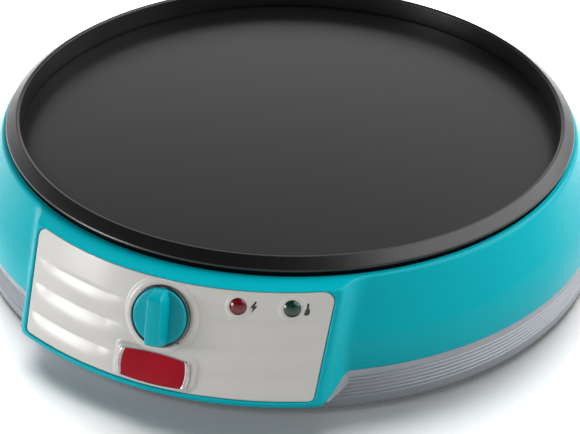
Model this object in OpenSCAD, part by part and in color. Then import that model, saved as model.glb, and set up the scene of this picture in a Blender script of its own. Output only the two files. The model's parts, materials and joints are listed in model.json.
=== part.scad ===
// Electric crepe maker: round cooking plate on a two-part housing, with a control block at the front.
// Origin: on the plate's axis, at the height of the surface it stands on. +Z up, controls towards -Y.

/* [Cooking plate] */
// Diameter over the plate's rim
plate_d = 306; // [290:1:330]
// Width of the rim, seen from above
rim_w = 7.5; // [6:0.5:10]
// Height of the rim's crest above the cooking surface
rim_h = 12; // [8:0.5:14]
// How far the rim's top falls from the crest to its outer edge
rim_drop = 4; // [2:0.5:5]
// Thickness of the plate under the cooking surface
plate_t = 6; // [5:0.5:8]
// Depth of the cooking surface below the top of the housing
plate_sink = 4; // [2:0.5:5]
// Radius between the cooking surface and the rim
rim_fillet = 2; // [1:0.5:3]

/* [Heating] */
// Diameter of the heating ring, at the middle of its tube
element_ring_d = 200; // [180:1:216]
// Diameter of the heating tube
element_d = 8; // [6:0.5:9]
// Angle left open at the front between the two ends of the heating tube
element_open_angle = 32; // [26:1:44]
// Length of each leg of the heating tube below the ring
element_leg = 12; // [10:1:14]
// Diameter of the two cold pins
element_pin_d = 3.6; // [3:0.2:4]
// Diameter of the heat reflector
reflector_d = 236; // [230:1:244]
// Thickness of the reflector's sheet
reflector_t = 0.8; // [0.5:0.1:1.2]
// Height of the reflector's upturned lip
reflector_lip = 6; // [3:0.5:7]
// Length of the posts between plate and reflector
reflector_post = 20; // [18:0.5:24]

/* [Housing] */
// Width of the housing outside the plate's rim
body_margin = 18; // [16:0.5:24]
// Height of the upper housing
upper_h = 42; // [41:0.5:50]
// Height of the ribbed base
base_h = 21; // [19:0.5:26]
// Lean of the upper housing's side from the vertical, in degrees
side_lean = 28; // [24:0.5:30]
// Radius that turns the side to the vertical above the seam
side_bend = 48; // [36:1:52]
// Wall thickness of the housing
wall = 2.6; // [2:0.1:3]
// Thickness of the base's floor
floor_t = 2.5; // [2:0.1:3.5]
// Number of ribs round the base
rib_count = 6; // [3:1:6]
// Spacing of the ribs
rib_pitch = 2.2; // [1.6:0.1:2.4]
// Depth of the grooves between the ribs
rib_depth = 0.7; // [0.3:0.1:1]
// Number of slots in the base's floor
slot_count = 16; // [8:2:24]
// Width of each slot
slot_w = 3; // [2:0.5:4]

/* [Control block] */
// Distance of the panel's top edge in front of the plate's rim
panel_out = 11.8; // [10:0.2:14]
// Distance of the panel's arc centre in front of the plate's axis
panel_offset = 10; // [5:0.5:14]
// Angle of the panel from the horizontal, in degrees
panel_angle = 65.4; // [62:0.1:70]
// Length of the fascia along its slope
panel_slant = 50.8; // [49:0.2:52]
// Width of the fascia at its top edge
panel_top_w = 152.6; // [150:0.2:156]
// Width of the fascia at its bottom edge
panel_bottom_w = 149.4; // [147:0.2:150]
// Thickness of the fascia
fascia_t = 2.4; // [2:0.1:3]
// Corner radius of the fascia
fascia_corner = 6; // [3:0.5:8]
// Wall that backs the fascia
backing_t = 2; // [1.6:0.1:2.4]
// Width of the housing's frame beside the fascia
frame_w = 2.8; // [2.4:0.1:5]
// How far that frame stands in front of the fascia
frame_proud = 0.5; // [0.2:0.1:1]
// Yaw of the block's cheeks, in degrees
cheek_yaw = 15.2; // [12:0.2:18]
// Tilt of the block's cheeks, in degrees
cheek_tilt = 8.1; // [6:0.1:9]
// How far the block reaches down past the seam
block_drop = 7.5; // [6:0.5:9]
// Number of shallow waves across the fascia
wave_count = 4; // [2:1:5]
// Depth of the waves
wave_depth = 0.45; // [0.2:0.05:0.8]

/* [Knob] */
// Diameter of the knob
knob_d = 27.2; // [24:0.2:27.4]
// Height of the knob's disc
knob_disc_h = 4.5; // [4:0.5:6]
// Height of the knob's grip
knob_h = 12; // [10:0.5:14]
// Width of the knob's grip
grip_w = 10.5; // [9:0.5:12]
// Outer diameter of the bezel ring
bezel_d = 30; // [29:0.2:31]
// Width of the bezel ring
bezel_w = 1; // [0.8:0.1:1.2]
// Height of the bezel ring
bezel_h = 1.6; // [1:0.1:2.5]
// Distance of the knob's axis below the fascia's top edge, along the slope
knob_slant = 17.3; // [16.5:0.1:19]
// Diameter of the raised surround under the knob
surround_d = 35; // [33:0.5:37]
// Height of the raised surrounds
surround_h = 0.8; // [0.6:0.1:1.2]

/* [Lamps and badge] */
// Diameter of each lamp lens
lens_d = 7.8; // [6:0.2:8.4]
// Distance of the lamps below the fascia's top edge, along the slope
lamp_slant = 7.3; // [7:0.1:9]
// Distance of the green lamp from the fascia's side, measured at its top edge
green_in = 17.6; // [16.4:0.1:23]
// Distance between the two lamps
lamp_spacing = 23.7; // [18:0.1:27]
// Diameter of each glow lamp
glow_d = 6; // [5:0.2:6]
// Length of each glow lamp
glow_l = 16; // [12:0.5:18]
// Width of the badge
badge_w = 36; // [30:0.5:38]
// Height of the badge
badge_h = 12.6; // [10:0.2:13]
// Width of the badge's frame
badge_frame_w = 1.2; // [0.8:0.1:1.6]
// Thickness of the badge's frame
badge_t = 1.4; // [1.2:0.1:1.8]
// Distance of the badge's centre below the fascia's top edge, along the slope
badge_slant = 43; // [42:0.1:43.4]

/* [Thermostat] */
// Diameter of the spindle
spindle_d = 6; // [5:0.5:6]
// Outer diameter of the spindle's bush
bush_d = 9; // [8.6:0.2:10]
// Thread pitch of the spindle, which sets the adjuster's travel
thread_pitch = 1; // [0.5:0.1:1]
// Distance from the spindle's axis to the rivet of the contact stack
stack_reach = 24; // [22:0.5:26]
// Diameter of the ceramic spacers in the stack
stack_d = 10; // [9:0.5:11]
// Thickness of the contact arms
arm_t = 0.4; // [0.3:0.05:0.5]
// Width of the contact arms
arm_w = 6; // [4:0.5:7]
// Thickness of the bimetal strip
bimetal_t = 0.8; // [0.6:0.1:1]

/* [Feet, screws and cord entry] */
// Height of the feet below the base
foot_h = 3; // [2:0.5:5]
// Diameter of the feet
foot_d = 16; // [14:1:20]
// Distance of the feet from the axis
foot_ring_r = 150; // [140:1:152]
// Diameter of the housing screws
case_screw_d = 2.9; // [2.5:0.1:3.5]
// Number of housing screws
case_screw_count = 6; // [6:1:6]
// Diameter of the plate screws
plate_screw_d = 4; // [3:0.5:4]
// Number of plate screws
plate_screw_count = 4; // [4:1:4]
// Diameter of the cord's passage through the gland
cord_bore_d = 7.2; // [6:0.2:8]
// Diameter of the gland's flanges
gland_flange_d = 16; // [14.6:0.2:16.4]

/* [Fits] */
// Gap between parts that only sit next to each other
part_gap = 0.3; // [0.2:0.05:0.4]
// Radial running gap of a shaft in its bore
running_gap = 0.05; // [0.02:0.01:0.08]
// Gap between the rim's skirt and the housing
plate_gap = 0.6; // [0.4:0.1:1]

/* [Hidden] */
$fn = 96;

slit = 0.01;       // overshoot of a cutter past the face it opens
weld = 1;          // how far joined shapes reach into each other
far = 400;         // longer than the whole object
seam_gap = 0.1;    // gap in the visible seam between housing and base
thread_room = 1;   // a screw's hole is this much deeper than its thread
diagonal = 45;     // feet and plate screws stand on the diagonals

// Heights of the stack, from the standing surface up
z_base = foot_h;
z_seam = z_base + base_h;
z_body = z_seam + upper_h;
z_cook = z_body - plate_sink;
z_crest = z_cook + rim_h;
z_edge = z_crest - rim_drop;
z_under = z_cook - plate_t;
z_tube = z_under - part_gap - element_d / 2;
z_reflector = z_under - reflector_post;
floor_lift = 2;
z_floor = z_base + floor_lift;
z_inside = z_floor + floor_t;

// Plate
rim_r = plate_d / 2;
cook_r = rim_r - rim_w;
crest_w = 1.6;
edge_h = 0.8;
skirt_in = 1.8;
skirt_r = rim_r - skirt_in;
skirt_h = 3;
skirt_chamfer = 4;
guard_w = 1.6;
guard_h = 4;
guard_end_angle = 4;
cold_pin_l = 10;
element_start = -90 + element_open_angle / 2;
element_ends = [element_start, -180 - element_start];
clip_boss_in = 12;
clip_boss_d = 8;
clip_boss_r = element_ring_d / 2 - clip_boss_in;
clip_angles = [0, 90, 180];
clip_gap = 0.2;
z_clip = z_tube - element_d / 2 - clip_gap;
clip_t = 1;
clip_w = 12;
reflector_boss_r = 60;
reflector_boss_d = 9;
reflector_angles = [30, 150, 270];
small_screw_d = 2.4;
small_head_d = 5.6;
small_head_h = 2;
small_thread = 6;
screw_slack = 0.1;

// Shelf of the upper housing, which carries the plate on its spacers
shelf_t = 3;
spacer_t = 3;
plate_boss_l = 7;
plate_boss_d = 12;
z_shelf = z_under - plate_boss_l - spacer_t;
plate_boss_in = 17;
plate_boss_r = rim_r - plate_boss_in;
shelf_past = 10;
shelf_in_r = plate_boss_r - shelf_past;
plate_thread = 5;
plate_head_d = 7;
plate_head_h = 2.6;
plate_hole_slack = 0.3;

// Round housing
body_r = rim_r + body_margin;
lip_r = skirt_r + plate_gap;
lip_fill = 10;
side_wall = wall / cos(side_lean);
top_round = 2.5;
z_bend = z_seam + side_bend * sin(side_lean);
bend_steps = 8;

// Base
base_wall = 2.8;
base_in_r = body_r - base_wall;
band_h = 5;
rib_profile = [[0.2, 1], [0.35, 1], [0.6, 0], [0.95, 0]];   // [share of the pitch, share of the depth]
spigot_t = 2.3;
spigot_gap = 0.35;
spigot_up = 3;
spigot_down = 6;
spigot_r = body_r - side_wall - spigot_gap;
slot_in_r = 60;
slot_l = 36;

// Panel: a cone about an axis in front of the plate's axis
rho_top = rim_r + panel_out - panel_offset;
top_edge_drop = 0.6;
z_panel = z_body - top_edge_drop;
z_block = z_seam - block_drop;
ledge_w = 14.6;
sole_w = 3;
rho_bottom = rho_top + (z_panel - z_block) / tan(panel_angle) + frame_proud / sin(panel_angle);
rho_ledge = rho_bottom - ledge_w;
rho_sole = rho_bottom - sole_w;
block_top_round = 2.5;
block_bottom_round = 1.2;
block_root = 130;
cavity_root = 110;
room_root = 150;
room_rise = 2.2;
room_angle = 45;
chin_angle = 40;
fascia_gap = 0.2;
chin_back = 3;

// Knob, measured outwards from the fascia along its normal
knob_gap = 0.3;
knob_z = surround_h + knob_gap;
knob_r = knob_d / 2;
clip_ring_t = 0.8;
clip_ring_l = 3;
clip_recess_d = spindle_d + 2 * clip_ring_t + 0.1;
hub_wall = 0.85;
hub_d = clip_recess_d + 2 * hub_wall;
hub_l = 4;
hub_gap = 0.5;
hub_end = hub_l - knob_z;
spindle_in = 12;
spindle_out = 8;
flat_depth = 1.5;
d_gap = 0.1;
grip_dome = 30;
bezel_edge = 0.3;
grip_inset = 0.2;
knob_edge = 1.2;

// Thermostat, measured inwards from the fascia along the spindle
bracket_in = 9;
bracket_t = 1;
bracket_w = 46;
bracket_h = 24;
bracket_lift = 3;
bracket_corner = 3;
bracket_screw_x = 17;
bracket_screw_y = 10;
bracket_thread = 3.5;
pillar_d = 6;
frame_t = 1.2;
frame_strip_w = 10;
frame_past = 8;
bush_in = 16;
nut_af = 13;
nut_t = 3;
bore_in = spindle_in + 0.2;
turn_limit = 135;    // turn of the knob each way from its middle, in degrees
travel = thread_pitch * turn_limit / 360;
pin_d = 3;
pin_room = 0.4;
pin_rest = spindle_in + travel + pin_room;
pin_l = 4.7;
pin_gap = 0.1;
arm_in = pin_rest + pin_l + pin_gap;
arm_past = 6;
root_gap = 0.1;
leaf_root = stack_reach - stack_d / 2 - root_gap;
contact_d = 3;
contact_h = 0.6;
contact_x = 4;
contact_room = 0.25;
contact_gap = travel * (leaf_root + contact_x) / leaf_root + contact_room;
lower_in = arm_in + arm_t + 2 * contact_h + contact_gap;
bimetal_in = lower_in + 3.4;
bimetal_past = 9;
bead_d = 1.6;
bead_l = 2.6;
bead_x = -6.7;
bead_hole_d = bead_d + 1.4;
rivet_d = 3;
rivet_head_d = 5;
rivet_head_t = 1;
tab_w = 6.3;
tab_l = 10;
end_spacer_t = 2;
stack_end = bimetal_in + bimetal_t + end_spacer_t;

// Lamps, fascia screws and badge
curve_room = 0.1;    // room for a flat face behind the curved fascia
lens_flange_d = 9.6;
lens_flange_t = 1;
lens_dome = 1.6;
lamp_ring_d = 11;
lamp_ring_h = 0.5;
holder_d = 9.2;
holder_l = 10;
holder_clear = 2.7;
glow_back = 4.2;
green_x = panel_top_w / 2 - green_in;
red_x = green_x - lamp_spacing;
peg_top_in = 8.3;
peg_bottom_in = 8.7;
peg_top_x = panel_top_w / 2 - peg_top_in;
peg_bottom_x = panel_bottom_w / 2 - peg_bottom_in;
peg_top_slant = 11;
peg_bottom_slant = 34;
peg_places = [
    [-peg_top_x, peg_top_slant], [peg_top_x, peg_top_slant],
    [-peg_bottom_x, peg_bottom_slant], [peg_bottom_x, peg_bottom_slant]
];
peg_d = 5;
peg_l = 4;
peg_thread_d = 2;
peg_thread = 3;
badge_pad_w = 2;
badge_pad_h = 1.2;
badge_corner = 2;
badge_back = 0.4;
badge_recess = 0.2;
wave_start = 13;
wave_end_margin = 3;
wave_over = 1;

// Base fittings
case_screw_in = 21;
case_screw_r = body_r - case_screw_in;
case_boss_d = 9;
well_d = 11;
case_head_d = 6.6;
case_head_h = 2.4;
well_sink = 4;
z_boss = z_seam - 6;
case_thread = 13;
foot_count = 4;
foot_stem_d = 5;
foot_head_d = 7;
foot_head_h = 1.6;
z_cord = z_inside + 8.3;
gland_neck_d = 13;
gland_flange_t = 2.4;
gland_inner_t = 2;
gland_inside = base_in_r - part_gap;
gland_outside = body_r + 0.05;
block_y = 112;
terminal_w = 36;
terminal_depth = 16;
terminal_h = 13;
terminal_pole = 11;
terminal_bore_d = 4.2;
terminal_head_d = 4.2;
terminal_head_h = 1.2;
clamp_y = 140;
clamp_x = 10;
clamp_w = 28;
clamp_depth = 8;
clamp_t = 3;
clamp_post_d = 6;
clamp_post_h = 11;
wire_d = 2.2;
wire_gap = 0.2;
wire_stub = 8;
wire_low_y = -80;
wire_rise_y = -110;
fuse_r = 72;
fuse_angle = 205;
fuse_d = 4;
fuse_l = 12;
fuse_lead = 9;
fuse_lead_d = 1;

// ---- functions ----

function unit(v) = v / norm(v);

// Points of an arc of radius r that rounds corner b between a and c
function corner_arc(a, b, c, r, steps = 5) =
    let (u = unit(a - b), v = unit(c - b))
    let (half = acos(u * v) / 2)
    let (centre = b + unit(u + v) * r / sin(half))
    let (from = b + u * r / tan(half) - centre, to = b + v * r / tan(half) - centre)
    let (start = atan2(from.y, from.x), turn = atan2(to.y, to.x) - start)
    let (sweep = turn > 180 ? turn - 360 : turn < -180 ? turn + 360 : turn)
    [for (i = [0:steps]) centre + r * [cos(start + sweep * i / steps), sin(start + sweep * i / steps)]];

// Outline through [x, y, radius] corners, with each radius over zero rounded
function rounded(corners) = [
    for (i = [0:len(corners) - 1])
        let (n = len(corners), p = corners[i], a = corners[(i + n - 1) % n], c = corners[(i + 1) % n])
        each (p.z > 0
            ? corner_arc([a.x, a.y], [p.x, p.y], [c.x, c.y], p.z)
            : [[p.x, p.y]])
];

// Radius of the panel's cone and its height at a distance down the slope
function panel_rho(s) = rho_top + s * cos(panel_angle);
function panel_z(s) = z_panel - s * sin(panel_angle);
function panel_turn(x, s) = asin(x / panel_rho(s));

// Point of the panel's section at slope distance s and height h over the fascia
function panel_pt(s, h) =
    [panel_rho(s) + h * sin(panel_angle), panel_z(s) + h * cos(panel_angle)];

// Slope distance at which the section at height h reaches a level z
function slope_at(z, h) = (z_panel + h * cos(panel_angle) - z) / sin(panel_angle);

// A point given in the spindle's frame, in the frame of the whole object
function spindle_pt(v) = [
    v.x,
    -panel_offset - panel_rho(knob_slant) + v.y * cos(panel_angle) - v.z * sin(panel_angle),
    panel_z(knob_slant) + v.y * sin(panel_angle) + v.z * cos(panel_angle)
];

// Outside radius of the round housing at the angle a of its lower bend
function bend_pt(a, inset) =
    [body_r - inset - side_bend * (1 - cos(a)), z_seam + side_bend * sin(a)];

function side_r(z, inset) =
    bend_pt(side_lean, inset).x - (z - z_bend) * tan(side_lean);

// ---- placing ----

// Children on the fascia: x across, s down the slope, +Z along the normal there
module on_panel(x, s) {
    translate([0, -panel_offset, 0])
        rotate([0, 0, panel_turn(x, s)])
            translate([0, -panel_rho(s), panel_z(s)])
                rotate([panel_angle, 0, 0])
                    children();
}

module on_spindle() {
    on_panel(0, knob_slant) children();
}

module about_panel_axis() {
    translate([0, -panel_offset, 0]) children();
}

module ring_of(count, r, start = 0) {
    for (i = [0:count - 1])
        rotate([0, 0, start + i * 360 / count])
            translate([r, 0, 0])
                children();
}

module at_angles(angles, r) {
    for (a = angles)
        rotate([0, 0, a])
            translate([r, 0, 0])
                children();
}

// ---- shared shapes ----

module tube(d, bore, h) {
    difference() {
        cylinder(d = d, h = h);
        translate([0, 0, -slit])
            cylinder(d = bore, h = h + 2 * slit);
    }
}

// Pan-head screw: the head's bearing face is at z = 0, the shank points up
module screw(d, l, head_d, head_h) {
    slot_depth = head_h / 2;
    slot_wide = head_d / 6;
    cylinder(d = d, h = l);
    translate([0, 0, -head_h])
        difference() {
            cylinder(d = head_d, h = head_h);
            translate([-head_d, -slot_wide / 2, -slit])
                cube([2 * head_d, slot_wide, slot_depth]);
        }
}

module pill(w, h, t, r) {
    linear_extrude(t)
        polygon(rounded([
            [-w / 2, -h / 2, r], [w / 2, -h / 2, r], [w / 2, h / 2, r], [-w / 2, h / 2, r]
        ]));
}

// Wire swept along a list of points that never runs along X: eight sides, one ring at each point
module wire(points, d) {
    sides = 8;
    last = len(points) - 1;
    rings = [
        for (i = [0:last])
            let (back = i > 0 ? unit(points[i] - points[i - 1]) : [0, 0, 0])
            let (ahead = i < last ? unit(points[i + 1] - points[i]) : [0, 0, 0])
            let (along = unit(back + ahead))
            let (across = unit(cross(along, [1, 0, 0])), up = cross(along, across))
            for (k = [0:sides - 1])
                points[i] + d / 2 * (across * cos(360 * k / sides) + up * sin(360 * k / sides))
    ];
    sleeve = [
        for (i = [0:last - 1], k = [0:sides - 1])
            let (a = i * sides + k, b = i * sides + (k + 1) % sides)
            each [[a, a + sides, b + sides], [a, b + sides, b]]
    ];
    start_cap = [for (k = [0:sides - 1]) k];
    end_cap = [for (k = [sides - 1:-1:0]) last * sides + k];
    polyhedron(rings, concat([start_cap, end_cap], sleeve));
}

// ---- control block ----

// Space on the inner side of both cheek planes, moved inwards by inset
module between_cheeks(inset) {
    corner_x = panel_top_w / 2 + frame_w;
    corner_y = -panel_offset - sqrt(pow(rho_top, 2) - pow(corner_x, 2));
    normal = [cos(cheek_tilt) * cos(cheek_yaw), -cos(cheek_tilt) * sin(cheek_yaw), sin(cheek_tilt)];
    reach = normal * [corner_x, corner_y, z_panel] - inset;
    difference() {
        children();
        for (side = [0, 1])
            mirror([side, 0, 0])
                rotate([0, -cheek_tilt, -cheek_yaw])
                    translate([reach, -far / 2, -far / 2])
                        cube(far);
    }
}

// Front part of a ring about the panel's axis
module panel_ring(outline, half_angle = 50) {
    about_panel_axis()
        rotate([0, 0, -90 - half_angle])
            rotate_extrude(angle = 2 * half_angle)
                polygon(outline);
}

module block_solid() {
    corner_top = panel_pt(slope_at(z_body, frame_proud), frame_proud);
    between_cheeks(0)
        panel_ring(rounded([
            [block_root, z_seam, 0],
            [rho_ledge, z_seam, 0],
            [rho_sole, z_block, 0],
            [rho_bottom, z_block, block_bottom_round],
            [corner_top.x, z_body, block_top_round],
            [block_root, z_body, 0]
        ]));
}

module block_room() {
    cavity_half = green_x + holder_d / 2 + holder_clear;
    inner = -fascia_t - backing_t;
    z_top = z_body - wall;
    z_low = z_block + wall + room_rise;
    top = panel_pt(slope_at(z_top, inner), inner);
    low = panel_pt(slope_at(z_low, inner), inner);
    between_cheeks(wall)
        panel_ring([
            [room_root, z_seam - slit],
            [rho_ledge - wall, z_seam - slit],
            [rho_ledge, z_seam + wall],
            [low.x, z_low],
            [top.x, z_top],
            [room_root, z_top]
        ], room_angle);
    intersection() {
        panel_ring([
            [cavity_root, z_seam - slit],
            [room_root + slit, z_seam - slit],
            [room_root + slit, z_top],
            [cavity_root, z_top]
        ], room_angle);
        translate([-cavity_half, -far / 2, 0])
            cube([2 * cavity_half, far, far]);
    }
}

// The fascia's outline, grown sideways, between two heights over its face
module fascia_blank(grow, low, high) {
    s_top = -grow;
    s_end = panel_slant + grow;
    z_low = panel_z(s_end) - fascia_corner;
    z_high = panel_z(s_top) + fascia_corner;
    lean = (panel_top_w - panel_bottom_w) / 2 / (panel_z(0) - panel_z(panel_slant));
    half_low = panel_bottom_w / 2 + grow - lean * (panel_z(panel_slant) - z_low);
    half_high = panel_top_w / 2 + grow + lean * (z_high - panel_z(0));
    difference() {
        intersection() {
            panel_ring([
                panel_pt(s_top, low), panel_pt(s_end, low),
                panel_pt(s_end, high), panel_pt(s_top, high)
            ]);
            rotate([90, 0, 0])
                linear_extrude(far)
                    polygon([
                        [-half_low, z_low], [half_low, z_low],
                        [half_high, z_high], [-half_high, z_high]
                    ]);
        }
        for (side = [-1, 1], end = [0, 1])
            fascia_corner_cut(side, end, grow, low, high);
    }
}

module fascia_corner_cut(side, end, grow, low, high) {
    r = fascia_corner;
    s = end == 0 ? r : panel_slant - r;
    half = (end == 0 ? panel_top_w : panel_bottom_w) / 2;
    turn = panel_turn(half, s);
    past = 2 * r;
    on_panel(side * (half - r * cos(turn)), s)
        translate([0, 0, low - past])
            difference() {
                translate([side > 0 ? 0 : -past, end == 0 ? 0 : -past, 0])
                    cube([past, past, high - low + 2 * past]);
                translate([0, 0, -slit])
                    cylinder(r = r + grow, h = high - low + 2 * past + 2 * slit);
            }
}

// Thin steps across the fascia: each wave is a wedge that fades upwards
module fascia_waves() {
    run = (panel_slant - wave_start - wave_end_margin) / wave_count;
    for (i = [0:wave_count - 1]) {
        s0 = wave_start + i * run;
        panel_ring([
            panel_pt(s0, slit), panel_pt(s0, wave_over),
            panel_pt(s0 + run, wave_over), panel_pt(s0 + run, -wave_depth)
        ]);
    }
}

// ---- plate and heating ----

module cooking_plate() {
    color([0.15, 0.15, 0.16])
        difference() {
            union() {
                rotate_extrude()
                    polygon(rounded([
                        [0, z_under, 0],
                        [skirt_r - skirt_chamfer, z_under, 0],
                        [skirt_r, z_under + skirt_h, 0],
                        [skirt_r, z_body + plate_gap, 0],
                        [rim_r, z_edge - edge_h, 0],
                        [rim_r - edge_h / 2, z_edge, 0],
                        [cook_r + crest_w, z_crest, 1],
                        [cook_r, z_crest - crest_w / 2, 0],
                        [cook_r, z_cook, rim_fillet],
                        [0, z_cook, 0]
                    ]));
                for (r = [element_ring_d / 2 - element_d / 2 - guard_w - part_gap,
                          element_ring_d / 2 + element_d / 2 + part_gap])
                    translate([0, 0, z_under - guard_h])
                        difference() {
                            cylinder(r = r + guard_w, h = guard_h + slit);
                            translate([0, 0, -slit])
                                cylinder(r = r, h = guard_h + 3 * slit);
                            element_opening();
                        }
                ring_of(plate_screw_count, plate_boss_r, diagonal)
                    translate([0, 0, z_under - plate_boss_l])
                        cylinder(d = plate_boss_d, h = plate_boss_l + slit);
                at_angles(clip_angles, clip_boss_r)
                    translate([0, 0, z_clip])
                        cylinder(d = clip_boss_d, h = z_under - z_clip + slit);
                at_angles(reflector_angles, reflector_boss_r)
                    translate([0, 0, z_reflector])
                        cylinder(d = reflector_boss_d, h = reflector_post + slit);
            }
            ring_of(plate_screw_count, plate_boss_r, diagonal)
                translate([0, 0, z_under - plate_boss_l - slit])
                    cylinder(d = plate_screw_d + screw_slack, h = plate_thread + thread_room);
            at_angles(clip_angles, clip_boss_r)
                translate([0, 0, z_clip - slit])
                    cylinder(d = small_screw_d + screw_slack, h = small_thread);
            at_angles(reflector_angles, reflector_boss_r)
                translate([0, 0, z_reflector - slit])
                    cylinder(d = small_screw_d + screw_slack, h = small_thread + thread_room);
        }
}

// Wedge in which the heating tube is left open at the front
module element_opening() {
    reach = element_ring_d;
    half = element_open_angle / 2 + guard_end_angle;
    rotate([0, 0, -90 - half])
        rotate_extrude(angle = 2 * half)
            translate([element_ring_d / 4, -slit])
                square([reach, guard_h + 3 * slit]);
}

module plate_spacers() {
    color([0.85, 0.82, 0.74])
        ring_of(plate_screw_count, plate_boss_r, diagonal)
            translate([0, 0, z_shelf])
                tube(plate_boss_d, plate_screw_d + plate_hole_slack, spacer_t);
}

module plate_screws() {
    color([0.75, 0.75, 0.77])
        ring_of(plate_screw_count, plate_boss_r, diagonal)
            translate([0, 0, z_shelf - shelf_t])
                screw(plate_screw_d, shelf_t + spacer_t + plate_thread, plate_head_d, plate_head_h);
}

module heating_element() {
    color([0.35, 0.33, 0.32]) {
        rotate([0, 0, element_start])
            rotate_extrude(angle = 360 - element_open_angle)
                translate([element_ring_d / 2, z_tube])
                    circle(d = element_d);
        at_angles(element_ends, element_ring_d / 2) {
            translate([0, 0, z_tube])
                sphere(d = element_d);
            translate([0, 0, z_tube - element_leg])
                cylinder(d = element_d, h = element_leg);
        }
    }
}

module element_pins() {
    color([0.7, 0.7, 0.72])
        at_angles(element_ends, element_ring_d / 2)
            translate([0, 0, z_tube - element_leg - cold_pin_l])
                cylinder(d = element_pin_d, h = cold_pin_l);
}

module element_clips() {
    past_ring = 2;
    clip_l = clip_boss_in + clip_boss_d / 2 + past_ring;
    color([0.72, 0.72, 0.74])
        at_angles(clip_angles, clip_boss_r)
            difference() {
                translate([-clip_boss_d / 2, -clip_w / 2, z_clip - clip_t])
                    cube([clip_l, clip_w, clip_t]);
                translate([0, 0, z_clip - clip_t - slit])
                    cylinder(d = small_screw_d + plate_hole_slack, h = clip_t + 2 * slit);
            }
}

module clip_screws() {
    color([0.78, 0.78, 0.8])
        at_angles(clip_angles, clip_boss_r)
            translate([0, 0, z_clip - clip_t])
                screw(small_screw_d, small_thread, small_head_d, small_head_h);
}

module thermal_fuse() {
    color([0.88, 0.86, 0.8])
        rotate([0, 0, fuse_angle])
            translate([fuse_r, 0, z_under - part_gap - fuse_d / 2])
                rotate([90, 0, 0]) {
                    translate([0, 0, -fuse_l / 2])
                        cylinder(d = fuse_d, h = fuse_l);
                    translate([0, 0, -fuse_l / 2 - fuse_lead])
                        cylinder(d = fuse_lead_d, h = fuse_l + 2 * fuse_lead);
                }
}

module heat_reflector() {
    leg_room = element_d + 1;
    color([0.8, 0.81, 0.83])
        difference() {
            union() {
                translate([0, 0, z_reflector - reflector_t])
                    cylinder(d = reflector_d, h = reflector_t);
                translate([0, 0, z_reflector - slit])
                    tube(reflector_d, reflector_d - 2 * reflector_t, reflector_lip);
            }
            at_angles(element_ends, element_ring_d / 2)
                translate([0, 0, z_reflector - reflector_t - slit])
                    cylinder(d = leg_room, h = reflector_t + 2 * slit);
            at_angles(reflector_angles, reflector_boss_r)
                translate([0, 0, z_reflector - reflector_t - slit])
                    cylinder(d = small_screw_d + plate_hole_slack, h = reflector_t + 2 * slit);
        }
}

module reflector_screws() {
    color([0.78, 0.78, 0.8])
        at_angles(reflector_angles, reflector_boss_r)
            translate([0, 0, z_reflector - reflector_t])
                screw(small_screw_d, small_thread, small_head_d, small_head_h);
}

// ---- housing ----

module round_shell() {
    outer = concat(
        [for (i = [0:bend_steps]) bend_pt(side_lean * i / bend_steps, 0)],
        corner_arc(bend_pt(side_lean, 0), [side_r(z_body, 0), z_body], [lip_r, z_body], top_round)
    );
    inner = concat(
        [[side_r(z_body - wall, side_wall), z_body - wall]],
        [for (i = [bend_steps:-1:0]) bend_pt(side_lean * i / bend_steps, side_wall)]
    );
    rotate_extrude()
        polygon(concat(outer, [[lip_r, z_body], [lip_r, z_body - wall]], inner));
}

module upper_housing() {
    color([0.02, 0.66, 0.69]) {
        difference() {
            union() {
                difference() {
                    block_solid();
                    cylinder(r = side_r(z_body, side_wall), h = far);
                }
                intersection() {
                    block_solid();
                    translate([0, 0, z_body - wall])
                        tube(2 * (lip_r + lip_fill), 2 * lip_r, wall);
                }
                round_shell();
                translate([0, 0, z_shelf - shelf_t])
                    tube(2 * (side_r(z_shelf, side_wall) + weld), 2 * shelf_in_r, shelf_t);
                ring_of(case_screw_count, case_screw_r)
                    translate([0, 0, z_boss])
                        cylinder(d = case_boss_d, h = z_shelf - z_boss - slit);
            }
            block_room();
            fascia_blank(fascia_gap, -fascia_t - slit, fascia_corner);
            ring_of(plate_screw_count, plate_boss_r, diagonal)
                translate([0, 0, z_shelf - shelf_t - slit])
                    cylinder(d = plate_screw_d + plate_hole_slack, h = shelf_t + 2 * slit);
            ring_of(case_screw_count, case_screw_r)
                translate([0, 0, z_boss - slit])
                    cylinder(d = case_screw_d + screw_slack, h = case_thread + thread_room);
            panel_holes();
        }
        bracket_pillars();
    }
}

// Holes through the wall behind the fascia
module panel_holes() {
    deep = fascia_t + backing_t + weld;
    bush_room = bush_d + 5;
    lamp_room = holder_d + 1.6;
    on_spindle()
        translate([0, 0, -deep])
            cylinder(d = bush_room, h = deep);
    for (x = [red_x, green_x])
        on_panel(x, lamp_slant)
            translate([0, 0, -deep])
                cylinder(d = lamp_room, h = deep);
    for (p = peg_places)
        on_panel(p.x, p.y)
            translate([0, 0, -deep])
                cylinder(d = peg_d + 2 * part_gap, h = deep);
}

module bracket_pillars() {
    pillar_l = bracket_in - fascia_t - backing_t;
    on_spindle()
        for (side = [-1, 1])
            translate([side * bracket_screw_x, bracket_screw_y, -bracket_in])
                difference() {
                    cylinder(d = pillar_d, h = pillar_l + backing_t / 3);
                    translate([0, 0, -slit])
                        cylinder(d = small_screw_d + screw_slack, h = bracket_thread + thread_room / 2);
                }
}

// Ribbed outside of the base, from its lower edge up
function base_outline() = concat(
    [[body_r, z_base], [body_r, z_base + band_h]],
    [for (i = [0:rib_count - 1])
        let (z = z_base + band_h + i * rib_pitch)
        each [for (p = rib_profile) [body_r - p.y * rib_depth, z + p.x * rib_pitch]]],
    [[body_r - seam_gap, z_seam]]
);

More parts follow.
